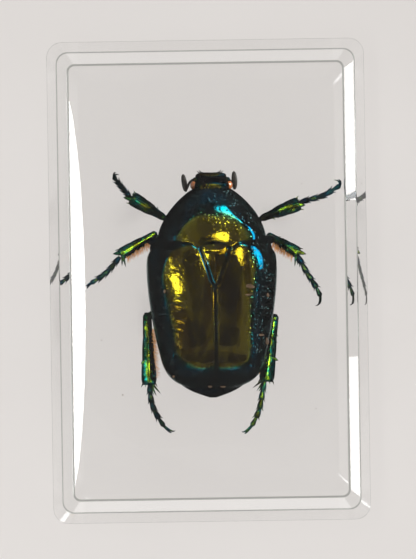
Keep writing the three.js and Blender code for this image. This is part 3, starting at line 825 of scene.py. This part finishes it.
def make_antennae():
    clubs = {
        "left": ((-2.3, 8.3, 0.45), (-2.52, 9.85, 0.45), 0.20),
        "right": ((2.2, 8.45, 0.45), (2.13, 10.08, 0.45), 0.25),
    }
    for word, (base, tip, half) in clubs.items():
        side = -1 if word == "left" else 1
        base, tip = np.array(base), np.array(tip)
        shape = Shape()
        t = np.linspace(0, 1, 14)
        swell = np.sin(np.clip(t * 0.96 + 0.04, 0, 1) * math.pi) ** 0.45
        for leaf, drop in enumerate((0.22, 0.0, -0.22)):
            path = base + (tip - base) * t[:, None] + np.array((side * 0.03 * leaf, 0, drop))
            shape.tube(lean(path), half * swell + 0.01, 0.10 * swell + 0.01, sides=14)
        root = np.array((side * 1.6, 9.35, 0.3))
        bend = np.array((side * 1.98, 9.0, 0.1))
        steps = [root, root * 0.4 + bend * 0.6, bend, bend * 0.55 + base * 0.45, base]
        radii = (0.12, 0.16, 0.11, 0.12, 0.10)
        shape.tube(lean(np.array(steps)), radii, radii, sides=10)
        shape.ball(lean(base + np.array((0, 0.04, 0))), (0.13, 0.13, 0.16), rows=8, columns=12)
        finish_piece(shape.build(f"antenna_club_{word}", horn_material()), "feeler", f"antenna_{word}")


# ---- legs (mm, block frame)

# Half width of the femur, and of the shin near the knee, half way and at its end.
LEG_WIDTHS = {
    "foreleg": (0.5, (0.34, 0.54, 0.62)),
    "middle_leg": (0.62, (0.34, 0.46, 0.52)),
    "hind_leg": (0.75, (0.4, 0.52, 0.66)),
}
# Places of the hip, the knee and the shin's end, tips of the shin's teeth with their share of its
# length, tips of its spurs, line of the foot, and tips of the claws.
LEGS = {
    "foreleg_left": {
        "hip": (-2.5, 4.5, 3.85), "knee": (-4.1, 5.95, 5.4), "apex": (-7.0, 7.78, 6.3),
        "teeth": ((0.82, (-7.28, 7.3, 6.3)), (0.97, (-7.79, 7.84, 6.35)), (0.5, (-5.95, 6.62, 6.1))),
        "spurs": ((-6.82, 8.3, 6.3),),
        "foot": ((-7.15, 7.9, 6.3), (-7.78, 8.6, 6.4), (-8.16, 9.12, 6.5), (-8.62, 9.75, 6.5)),
        "claws": ((-8.1, 9.92, 6.45), (-8.4, 10.15, 6.2)),
    },
    "foreleg_right": {
        "hip": (2.8, 4.3, 3.75), "knee": (5.1, 5.75, 5.2), "apex": (8.5, 7.02, 6.2),
        "teeth": ((0.82, (8.47, 6.38, 6.2)), (0.97, (9.08, 6.86, 6.2)), (0.5, (7.2, 6.1, 6.0))),
        "spurs": ((8.32, 7.65, 6.2),),
        "foot": ((8.6, 7.15, 6.2), (9.7, 7.43, 6.3), (10.8, 7.71, 6.4), (11.66, 8.25, 6.4),
                 (12.3, 8.62, 6.4)),
        "claws": ((11.75, 9.15, 6.35), (12.1, 9.2, 6.15)),
    },
    "middle_leg_left": {
        "hip": (-2.6, 1.2, 3.4), "knee": (-5.0, 4.35, 5.4), "apex": (-8.15, 2.55, 5.8),
        "teeth": ((0.92, (-8.84, 2.62, 5.8)),),
        "spurs": ((-7.65, 1.4, 5.7), (-8.0, 1.5, 5.5)),
        "foot": ((-8.2, 2.3, 5.8), (-8.84, 1.55, 5.8), (-9.24, 1.08, 5.8), (-9.8, 0.61, 5.8),
                 (-10.9, -0.05, 5.8)),
        "claws": ((-11.35, -0.3, 5.7), (-11.2, -0.55, 5.55)),
    },
    "middle_leg_right": {
        "hip": (3.0, 1.2, 3.05), "knee": (5.75, 4.05, 4.75), "apex": (8.35, 2.45, 5.6),
        "teeth": ((0.92, (9.1, 2.32, 5.6)),),
        "spurs": ((8.0, 1.2, 5.5), (8.3, 1.3, 5.3)),
        "foot": ((8.3, 2.2, 5.6), (8.74, 1.35, 5.6), (9.23, 0.4, 5.6), (9.81, -0.46, 5.6),
                 (10.35, -1.6, 5.6)),
        "claws": ((9.85, -2.45, 5.5), (10.1, -2.35, 5.3)),
    },
    "hind_leg_left": {
        "hip": (-2.7, -2.0, 3.45), "knee": (-5.75, -3.3, 4.9), "apex": (-5.65, -9.55, 5.6),
        "teeth": ((0.66, (-6.4, -7.6, 5.5)),),
        "spurs": ((-4.6, -10.4, 5.5), (-5.0, -10.6, 5.3)),
        "foot": ((-5.6, -9.5, 5.6), (-5.56, -10.49, 5.7), (-5.4, -11.46, 5.7), (-5.05, -12.26, 5.7),
                 (-4.35, -13.4, 5.7)),
        "claws": ((-3.3, -13.8, 5.6), (-3.65, -14.0, 5.4)),
    },
    "hind_leg_right": {
        "hip": (3.0, -2.1, 3.1), "knee": (6.05, -3.6, 4.5), "apex": (5.2, -9.4, 5.4),
        "teeth": ((0.66, (6.35, -7.5, 5.3)),),
        "spurs": ((3.95, -10.0, 5.3), (4.3, -10.3, 5.1)),
        "foot": ((5.05, -9.4, 5.4), (4.77, -10.65, 5.5), (4.66, -11.53, 5.5), (4.38, -12.41, 5.5),
                 (3.8, -13.5, 5.5)),
        "claws": ((2.85, -14.0, 5.4), (3.1, -14.2, 5.2)),
    },
}
# Legs whose feet are as green as their shins. The other feet are darker and bluer.
GREEN_FEET = {"hind_leg_right"}
# Radii along each joint of a foot, and along the last, which carries the claws.
FOOT_JOINT = (0.13, 0.19, 0.22, 0.245, 0.27, 0.295, 0.28, 0.16)
LAST_JOINT = (0.11, 0.15, 0.17, 0.19, 0.21, 0.235, 0.24, 0.14)


def line(start, end, steps):
    start, end = np.asarray(start, float), np.asarray(end, float)
    return start + (end - start) * np.linspace(0, 1, steps)[:, None]


def leg_widths(name):
    return LEG_WIDTHS[name.rpartition("_")[0]]


def foot_path(points, steps=6):
    """The foot's joints evenly placed along its bent line, as five segments."""
    points = np.array(points, float)
    gaps = np.concatenate([[0], np.cumsum(np.linalg.norm(np.diff(points, axis=0), axis=1))])
    at = np.linspace(0, gaps[-1], steps)
    return np.stack([curve_through(gaps, points[:, i], at) for i in range(3)], axis=-1)


def add_foot(shape, plan):
    """Five joints, with a small spine each side of all but the last, which has the claws."""
    joints = foot_path(plan["foot"])
    for start, end in zip(joints[:-2], joints[1:-1]):
        shape.tube(line(start - (end - start) * 0.10, end, len(FOOT_JOINT)), FOOT_JOINT, FOOT_JOINT)
        along = unit(end - start)
        wide = np.cross(UP, along)
        for side in (-1, 1):
            root = end - along * 0.14 + wide * side * 0.16
            shape.spine(root, root + along * 0.30 + wide * side * 0.20 - UP * 0.05, 0.07)
    start, end = joints[-2:]
    shape.tube(line(start - (end - start) * 0.10, end, len(LAST_JOINT)), LAST_JOINT, LAST_JOINT)
    ahead = unit(end - start)
    for tip in plan["claws"]:
        bow = ahead * 0.28 * np.linalg.norm(np.array(tip) - end)
        shape.spine(end - ahead * 0.05, tip, 0.12, curve=bow, sides=8, steps=9)


def make_leg(name, shin_finish, foot_finish):
    plan = LEGS[name]
    hip, knee, apex = (np.array(plan[key], float) for key in ("hip", "knee", "apex"))
    femur, (narrow, middle, wide) = leg_widths(name)
    shin = apex - knee
    along = unit(shin)
    across = np.cross(UP, along)
    shape = Shape()
    # The femur starts inside the body.
    t = np.linspace(0, 1, 16)
    club = femur * (0.5 + 0.55 * np.sin(math.pi * t ** 0.8)) * (1 - 0.35 * t ** 6)
    shape.tube(line(hip - (knee - hip) * 0.25, knee, len(t)), club, club * 0.72, sides=16)
    # The shin widens to its end and has two faint notches.
    s = np.linspace(-0.07, 1, 30)
    half = curve_through((-0.07, 0.03, 0.14, 0.5, 0.93, 1.0),
                         (narrow * 0.55, narrow * 0.95, narrow, middle, wide, wide * 0.8), s)
    notch = 1 - 0.05 * bump_at(s, 0.3, 0.05) - 0.05 * bump_at(s, 0.62, 0.05)
    shape.tube(knee + shin * s[:, None], half * notch, half * 0.62, sides=18, ridge=0.07)
    for share, tip in plan["teeth"]:
        shape.spine(knee + shin * (share - 0.05), tip, 0.34, sides=8)
    for tip in plan["spurs"]:
        shape.spine(knee + shin * 0.93, tip, 0.15, curve=(0, 0, 0.05), sides=8)
    # A row of small spines across the shin's end, and one along the side that is to the right.
    for i in range(-2, 3):
        offset = across * wide * i / 2.2
        base = apex - along * 0.1 + offset
        shape.spine(base, base + along * 0.32 + offset * 0.25, 0.06)
    to_right = across * np.sign(across[0])
    for i in range(7):
        base = knee + shin * (0.25 + 0.1 * i) + to_right * middle * 0.8
        shape.spine(base, base + to_right * 0.16 + along * 0.16, 0.05)
    shape.ball(knee, (femur * 0.55, femur * 0.55, femur * 0.5))
    first_foot_face = len(shape.faces)
    add_foot(shape, plan)
    piece = shape.build(f"{name}_limb", shin_finish)
    piece.data.materials.append(foot_finish)
    for face in piece.data.polygons[first_foot_face:]:
        face.material_index = 1
    finish_piece(piece, "leg", name)


def make_legs():
    shin_finish = shell_material("Leg", turn=-0.035, spread=0.38, mottle=0.26, depth=1.6,
                                 slope_depth=2.0, unevenness=1.4, roughness=0.16, stain=1.0,
                                 gain=(1.7, 3.3, 2.2), grain=2.5)
    foot_finish = shell_material("Foot", turn=-0.06, spread=0.45, mottle=0.22, depth=1.6,
                                 slope_depth=2.0, unevenness=1.4, roughness=0.2, stain=1.0,
                                 gain=(1.0, 1.7, 2.4), grain=2.5)
    for name in LEGS:
        make_leg(name, shin_finish, shin_finish if name in GREEN_FEET else foot_finish)


HAIRS_PER_LEG = 90


def make_hairs():
    """Fringes of hair along the inner side of the middle and hind shins."""
    beetle = settings().beetle
    random = np.random.default_rng(SEED)
    shape = Shape()
    long, thick = beetle.hair_length / MM, beetle.hair_width / MM
    for name, plan in LEGS.items():
        if name.startswith("foreleg"):
            continue
        knee, apex = np.array(plan["knee"], float), np.array(plan["apex"], float)
        shin = apex - knee
        along = unit(shin)
        half = leg_widths(name)[1][1]
        inward = np.cross(along, UP)
        # The middle legs' hairs point to the tail, and the hind legs' hairs to the body.
        outside = inward[1] if name.startswith("middle") else inward[0] * apex[0]
        if outside > 0:
            inward = -inward
        for i in range(HAIRS_PER_LEG):
            share = 0.18 + 0.7 * (i + random.uniform(-0.4, 0.4)) / HAIRS_PER_LEG
            level = UP * random.uniform(-0.25, 0.15)
            base = knee + shin * share + inward * half * 0.7 + level
            reach = long * random.uniform(0.6, 1.05)
            tip = base + inward * reach + along * reach * random.uniform(0.15, 0.5)
            tip = tip + UP * random.uniform(-0.12, 0.12)
            shape.spine(base, tip, thick, sides=3, steps=3)
    hair = plain_material("Hair", settings().colours.hair, 0.55)
    finish_piece(shape.build("leg_hairs", hair), "leg")


# Middle of each flat air pocket on the shell (body frame), and its half sizes along X and Y.
POCKETS = [
    ((3.2, -0.55), (0.34, 0.13)), ((3.0, -1.3), (0.26, 0.07)), ((4.85, -1.4), (0.10, 0.16)),
    ((4.0, -5.0), (0.30, 0.09)), ((4.75, -5.6), (0.17, 0.26)), ((-0.4, -9.7), (0.17, 0.09)),
    ((0.75, -9.7), (0.17, 0.09)), ((-3.8, -8.7), (0.09, 0.09)), ((-4.6, -0.9), (0.08, 0.12)),
]
# Middle and half size of each dark speck in the resin.
SPECKS = [
    ((-9.9, -5.3, 9.0), 0.06), ((-8.0, -10.3, 11.0), 0.07), ((8.8, 8.9, 4.0), 0.05),
    ((9.6, -11.8, 12.0), 0.05),
]


def make_flaws():
    """Air pockets that cling to the shell and specks in the resin."""
    random = np.random.default_rng(SEED)
    shape = Shape()
    for middle, (half_x, half_y) in POCKETS:
        for _ in range(3):
            x, y = np.array(middle) + random.uniform(-0.5, 0.5, 2) * (half_x, half_y)
            height = float(cover_height(abs(x), y, math.copysign(1, x)))
            shape.ball(lean((x, y, height + 0.03)), (half_x, half_y, 0.05), rows=10, columns=14)
    for centre, half in SPECKS:
        shape.ball(centre, (half, half * 0.7, half), rows=8, columns=10)
    flaw = plain_material("Flaw", settings().colours.flaw, 0.5, variation=0.5, scale=3000.0)
    finish_piece(shape.build("resin_flaws", flaw), "clear_resin")


# ---- block


def block_ring(z, inset, corner_steps=10):
    block = settings().block
    half_x = BLOCK_SIZE[0] / 2 / MM - inset
    half_y = BLOCK_SIZE[1] / 2 / MM - inset * block.end_stretch
    radius = max(0.5, block.corner_radius / MM - inset * 0.35)
    points = []
    for quarter, (sx, sy) in enumerate(((1, 1), (-1, 1), (-1, -1), (1, -1))):
        for i in range(corner_steps):
            angle = (quarter + i / (corner_steps - 1)) * math.pi / 2
            points.append((sx * (half_x - radius) + math.cos(angle) * radius,
                           sy * (half_y - radius) + math.sin(angle) * radius, z))
    return points


def make_block():
    block = settings().block
    top = BLOCK_HIGH[2] / MM
    rings = [
        block_ring(0.0, block.back_chamfer / MM),
        block_ring(block.back_chamfer / MM, 0.0),
        block_ring(top - block.outer_drop / MM, 0.0),
        block_ring(top - block.inner_drop / MM, block.outer_inset / MM),
        block_ring(top, block.inner_inset / MM),
    ]
    rows, columns = len(rings), len(rings[0])
    back, front = tuple(reversed(range(columns))), tuple(range((rows - 1) * columns, rows * columns))
    shape = Shape()
    shape.add(np.array(rings).reshape(-1, 3), quads(rows, columns) + [back, front])
    piece = shape.build("clear_block", resin_material("Clear Resin"), smooth=False)
    # The creases' rounding gets a darker glass: painted shade that draws thin dark lines along the block's
    # edges.
    piece.data.materials.append(resin_material("Polished Crease", tint=0.45, roughness=0.08))
    polish = piece.modifiers.new("Polish", "BEVEL")
    polish.material = 1
    polish.width = block.edge_round
    polish.segments = 3
    polish.limit_method = "ANGLE"
    polish.angle_limit = math.radians(18)
    piece.visible_diffuse = False
    finish_piece(piece, "clear_resin", "resin_front", "resin_back")


# ---- stage


def add_panel_light(name, place, target, size, brightness, shape="RECTANGLE"):
    """A panel that faces a target, and is as bright as given whatever its size."""
    data = bpy.data.lights.new(name, "AREA")
    data.shape = shape
    data.size, data.size_y = size
    area = size[0] * size[1] * (math.pi / 4 if shape == "ELLIPSE" else 1)
    data.energy = brightness * math.pi * area
    light = add_object(name, data)
    light.location = place
    light.rotation_euler = (Vector(target) - Vector(place)).to_track_quat("-Z", "Y").to_euler()
    return light


# Brightness of the surroundings from straight down, through level, to straight up.
SKY = [(0.0, 0.46), (0.32, 0.43), (0.48, 0.27), (0.62, 0.18), (1.0, 0.165)]


def make_world():
    world = bpy.data.worlds.new("Soft Studio")
    bpy.context.scene.world = world
    world.use_nodes = True
    world.cycles.sampling_method = "NONE"
    tree = world.node_tree
    direction = add_node(tree, "TexCoord", {}).outputs["Generated"]
    height = add_node(tree, "SeparateXYZ", {0: direction}).outputs["Z"]
    stops = [(position, (value, value * 0.99, value * 0.97)) for position, value in SKY]
    feed(tree.nodes["Background"], {"Color": colour_ramp(tree, height, stops, "EASE")})


def make_floor(half_size=1.5, gap=0.02 * MM):
    """A floor a hair's breadth below the block's back face."""
    data = bmesh.new()
    bmesh.ops.create_grid(data, x_segments=8, y_segments=8, size=half_size)
    mesh = bpy.data.meshes.new("floor")
    data.to_mesh(mesh)
    data.free()
    floor = add_object("floor", mesh)
    floor.location.z = -gap
    colour = settings().stage.floor
    mesh.materials.append(plain_material("Floor", colour, 0.8, variation=0.01, scale=60.0, bump=0.02))


CARD_SPACING = 2 * MM
# Cards just above the lens: middle, size, grey value, and whether the block's outer faces mirror it,
# where the shells inside mirror the others.
CARDS = {
    "near_card": ((0.000, 0.052), (0.126, 0.152), 0.030, False),
    "far_card": ((-0.012, -0.068), (0.135, 0.066), 0.030, False),
    "rear_card": ((0.000, -0.285), (0.620, 0.270), 0.090, False),
    "haze_card": ((0.0, 0.0), (0.16, 0.16), 0.40, True),
}


def card_outline(size, phase, corners=72):
    """A rounded oblong with a wavy edge."""
    angle = circle(corners)
    reach = (np.cos(angle) ** 4 + np.sin(angle) ** 4) ** -0.25
    reach *= 1 + 0.07 * np.sin(3 * angle + phase) + 0.06 * np.sin(7 * angle + 2 * phase)
    reach *= 1 + 0.035 * np.sin(13 * angle + 3 * phase)
    return np.stack([reach * np.cos(angle) * size[0] / 2, reach * np.sin(angle) * size[1] / 2,
                     np.zeros(corners)], axis=-1)


def make_cards():
    """Grey cards over the lens, one above another, which show only in reflections."""
    level = BLOCK_HIGH[2] + settings().stage.camera_height
    for order, (name, (middle, size, grey, outside)) in enumerate(CARDS.items()):
        outline = card_outline(size, order * 1.7)
        mesh = bpy.data.meshes.new(name)
        mesh.from_pydata(outline.tolist(), [], [tuple(range(len(outline)))])
        finish = plain_material(f"Card {grey}", (grey, grey, grey), 0.9, variation=0.1, scale=30.0)
        mesh.materials.append(finish)
        card = add_object(name, mesh)
        card.location = (*middle, level + (order + 2) * CARD_SPACING)
        card.visible_camera = card.visible_shadow = card.visible_diffuse = False
        card.visible_transmission = not outside
        card.visible_glossy = outside


# How far beside the block's middle the camera stands.
CAMERA_OFFSET = (-0.05 * MM, 0.12 * MM)


def make_camera():
    stage = settings().stage
    data = bpy.data.cameras.new("camera")
    data.lens = stage.lens
    data.sensor_width = 36.0
    data.clip_start = 0.01
    camera = add_object("camera", data)
    camera.location = (*CAMERA_OFFSET, BLOCK_HIGH[2] + stage.camera_height)
    camera.rotation_euler = (0, 0, stage.camera_roll)
    bpy.context.scene.camera = camera


def aimed(off, azimuth, distance):
    """A place above the block, by its angle from the zenith and its azimuth in degrees."""
    off, azimuth = math.radians(off), math.radians(azimuth)
    return (distance * math.sin(off) * math.cos(azimuth), distance * math.sin(off) * math.sin(azimuth),
            BLOCK_HIGH[2] + distance * math.cos(off))


def link_light(light, **kinds):
    """Keeps the light off the pieces given as receiver, and lets it through those given as blocker."""
    for kind, pieces in kinds.items():
        group = bpy.data.collections.new(f"{light.name}_{kind}")
        for piece in pieces:
            group.objects.link(piece)
        for member in group.collection_objects:
            member.light_linking.link_state = "EXCLUDE"
        setattr(light.light_linking, f"{kind}_collection", group)


# A narrow light high over the block's left side, for the white streak along it: place, size and
# brightness.
STREAK = ((-0.0262, -0.002, 0.256), (0.008, 0.076), 14.0)
# Soft windows that the shells don't mirror: place, size, brightness, and whether the resin mirrors them.
WINDOWS = {
    "window_left": ((-0.44, 0.02, 0.24), (0.26, 0.20), 9.4, True),
    "window_low": ((0.05, -0.30, 0.46), (0.16, 0.12), 16.8, False),
    "window_right": ((0.44, 0.10, 0.24), (0.20, 0.20), 7.9, True),
}
# The point that the small lights face.
BLOCK_HEART = (0, 0, 0.012)
# Low panels that whiten the bevels: place, size and brightness.
EDGE_LIGHTS = {
    "edge_right_far": ((0.15, 0.022, 0.010), (0.022, 0.024), 7.0),
    "edge_right_near": ((0.15, -0.024, 0.010), (0.026, 0.024), 7.0),
    "edge_end": ((0.0, -0.15, 0.029), (0.090, 0.024), 2.2),
    "edge_top": ((0.0, 0.15, 0.029), (0.090, 0.024), 1.2),
}
# Small lights for the highlights: angle from the zenith, azimuth, distance, size, brightness, and
# whether they reach the shells as a mirror image through the front face, or straight, or only the legs.
GLINTS = {
    "glint_shield": (28, 60, 0.30, (0.085, 0.140), 8.5, "mirror"),
    "glint_cover": (34, 176, 0.32, (0.066, 0.115), 9.0, "mirror"),
    "glint_folds": (50, -157, 0.32, (0.030, 0.030), 8.0, "mirror"),
    "glint_rim": (46, 156, 0.32, (0.066, 0.066), 5.0, "mirror"),
    "glint_shoulder": (48, 64, 0.30, (0.130, 0.052), 26.0, "straight"),
    "glint_corner": (66, 24, 0.30, (0.150, 0.130), 60.0, "straight"),
    "sheen_left": (54, 172, 0.30, (0.160, 0.120), 3.2, "straight"),
    "sheen_rear": (48, -95, 0.30, (0.140, 0.060), 2.3, "straight"),
    "leg_high": (16, 60, 0.30, (0.060, 0.060), 8.0, "legs"),
    "leg_left": (48, 165, 0.30, (0.080, 0.080), 2.4, "legs"),
    "leg_front": (31, -32, 0.30, (0.070, 0.070), 5.0, "legs"),
    "leg_right": (50, 30, 0.30, (0.080, 0.080), 2.4, "legs"),
}


def make_stage():
    bpy.context.scene.view_settings.view_transform = "Standard"
    make_world()
    make_floor()
    make_cards()
    make_camera()
    pieces = [piece for piece in bpy.context.scene.objects if piece.type == "MESH"]
    block = [piece for piece in pieces if piece.name == "clear_block"]
    shells = [piece for piece in pieces if piece.active_material and piece.active_material.name in SHELLS]
    legs = [piece for piece in shells if piece.name.endswith("_limb")]
    lit = {"mirror": block, "straight": [piece for piece in shells if piece not in legs], "legs": legs}

    place, size, brightness = STREAK
    light = add_panel_light("streak_light", place, (*place[:2], 0), size, brightness, "ELLIPSE")
    light.visible_transmission = False
    link_light(light, blocker=[], receiver=shells)
    for name, (place, size, brightness, mirrored) in WINDOWS.items():
        light = add_panel_light(name, place, (0, 0, 0.01), size, brightness)
        light.visible_transmission = False
        light.visible_glossy = mirrored
        link_light(light, blocker=block + shells, receiver=shells)
    for name, (place, size, brightness) in EDGE_LIGHTS.items():
        light = add_panel_light(name, place, BLOCK_HEART, size, brightness)
        light.visible_transmission = False
        link_light(light, receiver=shells)
    for name, (off, azimuth, distance, size, brightness, way) in GLINTS.items():
        place = aimed(off, azimuth, distance)
        light = add_panel_light(name, place, BLOCK_HEART, size, brightness, "ELLIPSE")
        light.visible_glossy = way != "mirror"
        light.visible_transmission = way == "mirror"
        link_light(light, blocker=block, receiver=[piece for piece in pieces if piece not in lit[way]])


# ---- operators


class RESIN_OT_block(bpy.types.Operator):
    """Makes the bevelled resin block"""

    bl_idname = "resin.block"
    bl_label = "Clear Block"
    bl_options = {"REGISTER", "UNDO"}

    def execute(self, context):
        make_block()
        return {"FINISHED"}


class RESIN_OT_covers(bpy.types.Operator):
    """Makes both wing covers"""

    bl_idname = "resin.covers"
    bl_label = "Wing Covers"
    bl_options = {"REGISTER", "UNDO"}

    def execute(self, context):
        make_covers()
        return {"FINISHED"}


class RESIN_OT_scutellum(bpy.types.Operator):
    """Makes the long triangle between the covers"""

    bl_idname = "resin.scutellum"
    bl_label = "Scutellum"
    bl_options = {"REGISTER", "UNDO"}

    def execute(self, context):
        make_scutellum()
        return {"FINISHED"}


class RESIN_OT_shield(bpy.types.Operator):
    """Makes the pronotum behind the head"""

    bl_idname = "resin.shield"
    bl_label = "Shield"
    bl_options = {"REGISTER", "UNDO"}

    def execute(self, context):
        make_shield()
        return {"FINISHED"}


class RESIN_OT_belly(bpy.types.Operator):
    """Makes the breast, the belly and the tail plate"""

    bl_idname = "resin.belly"
    bl_label = "Underbody"
    bl_options = {"REGISTER", "UNDO"}

    def execute(self, context):
        make_belly()
        return {"FINISHED"}


class RESIN_OT_head(bpy.types.Operator):
    """Makes the head with its eyes and mouth"""

    bl_idname = "resin.head"
    bl_label = "Head"
    bl_options = {"REGISTER", "UNDO"}

    def execute(self, context):
        make_head()
        return {"FINISHED"}


class RESIN_OT_antennae(bpy.types.Operator):
    """Makes both antennae with their leaf clubs"""

    bl_idname = "resin.antennae"
    bl_label = "Antennae"
    bl_options = {"REGISTER", "UNDO"}

    def execute(self, context):
        make_antennae()
        return {"FINISHED"}


class RESIN_OT_legs(bpy.types.Operator):
    """Makes the six legs"""

    bl_idname = "resin.legs"
    bl_label = "Legs"
    bl_options = {"REGISTER", "UNDO"}

    def execute(self, context):
        make_legs()
        return {"FINISHED"}


class RESIN_OT_hairs(bpy.types.Operator):
    """Makes the fringes of hair on the legs"""

    bl_idname = "resin.hairs"
    bl_label = "Leg Hairs"
    bl_options = {"REGISTER", "UNDO"}

    def execute(self, context):
        make_hairs()
        return {"FINISHED"}


class RESIN_OT_flaws(bpy.types.Operator):
    """Makes the air pockets and specks in the resin"""

    bl_idname = "resin.flaws"
    bl_label = "Flaws"
    bl_options = {"REGISTER", "UNDO"}

    def execute(self, context):
        make_flaws()
        return {"FINISHED"}


class RESIN_OT_stage(bpy.types.Operator):
    """Makes the floor, the lights and the camera"""

    bl_idname = "resin.stage"
    bl_label = "Stage"
    bl_options = {"REGISTER", "UNDO"}

    def execute(self, context):
        make_stage()
        return {"FINISHED"}


OPERATORS = (RESIN_OT_block, RESIN_OT_covers, RESIN_OT_scutellum, RESIN_OT_shield, RESIN_OT_belly,
             RESIN_OT_head, RESIN_OT_antennae, RESIN_OT_legs, RESIN_OT_hairs, RESIN_OT_flaws,
             RESIN_OT_stage)


class RESIN_PT_panel(bpy.types.Panel):
    """Lists the pieces of the resin block and their settings."""

    bl_label = "Resin Block"
    bl_idname = "RESIN_PT_panel"
    bl_space_type = "VIEW_3D"
    bl_region_type = "UI"
    bl_category = "Resin Block"

    def draw(self, context):
        layout = self.layout
        for operator in OPERATORS:
            layout.operator(operator.bl_idname)
        for group in ("block", "beetle", "colours", "stage"):
            box = layout.box()
            box.label(text=group.capitalize())
            values = getattr(context.scene.resin_block, group)
            for name in values.bl_rna.properties.keys():
                if name not in {"rna_type", "name"}:
                    box.prop(values, name)


CLASSES = (BlockSettings, BeetleSettings, ColourSettings, StageSettings, ResinBlockSettings,
           *OPERATORS, RESIN_PT_panel)


def register():
    for cls in CLASSES:
        bpy.utils.register_class(cls)
    bpy.types.Scene.resin_block = PointerProperty(type=ResinBlockSettings)


def unregister():
    del bpy.types.Scene.resin_block
    for cls in reversed(CLASSES):
        bpy.utils.unregister_class(cls)


def main():
    register()
    bpy.ops.resin.block()
    bpy.ops.resin.covers()
    bpy.ops.resin.scutellum()
    bpy.ops.resin.shield()
    bpy.ops.resin.belly()
    bpy.ops.resin.head()
    bpy.ops.resin.antennae()
    bpy.ops.resin.legs()
    bpy.ops.resin.hairs()
    bpy.ops.resin.flaws()
    bpy.ops.resin.stage()


if __name__ == "__main__":
    main()
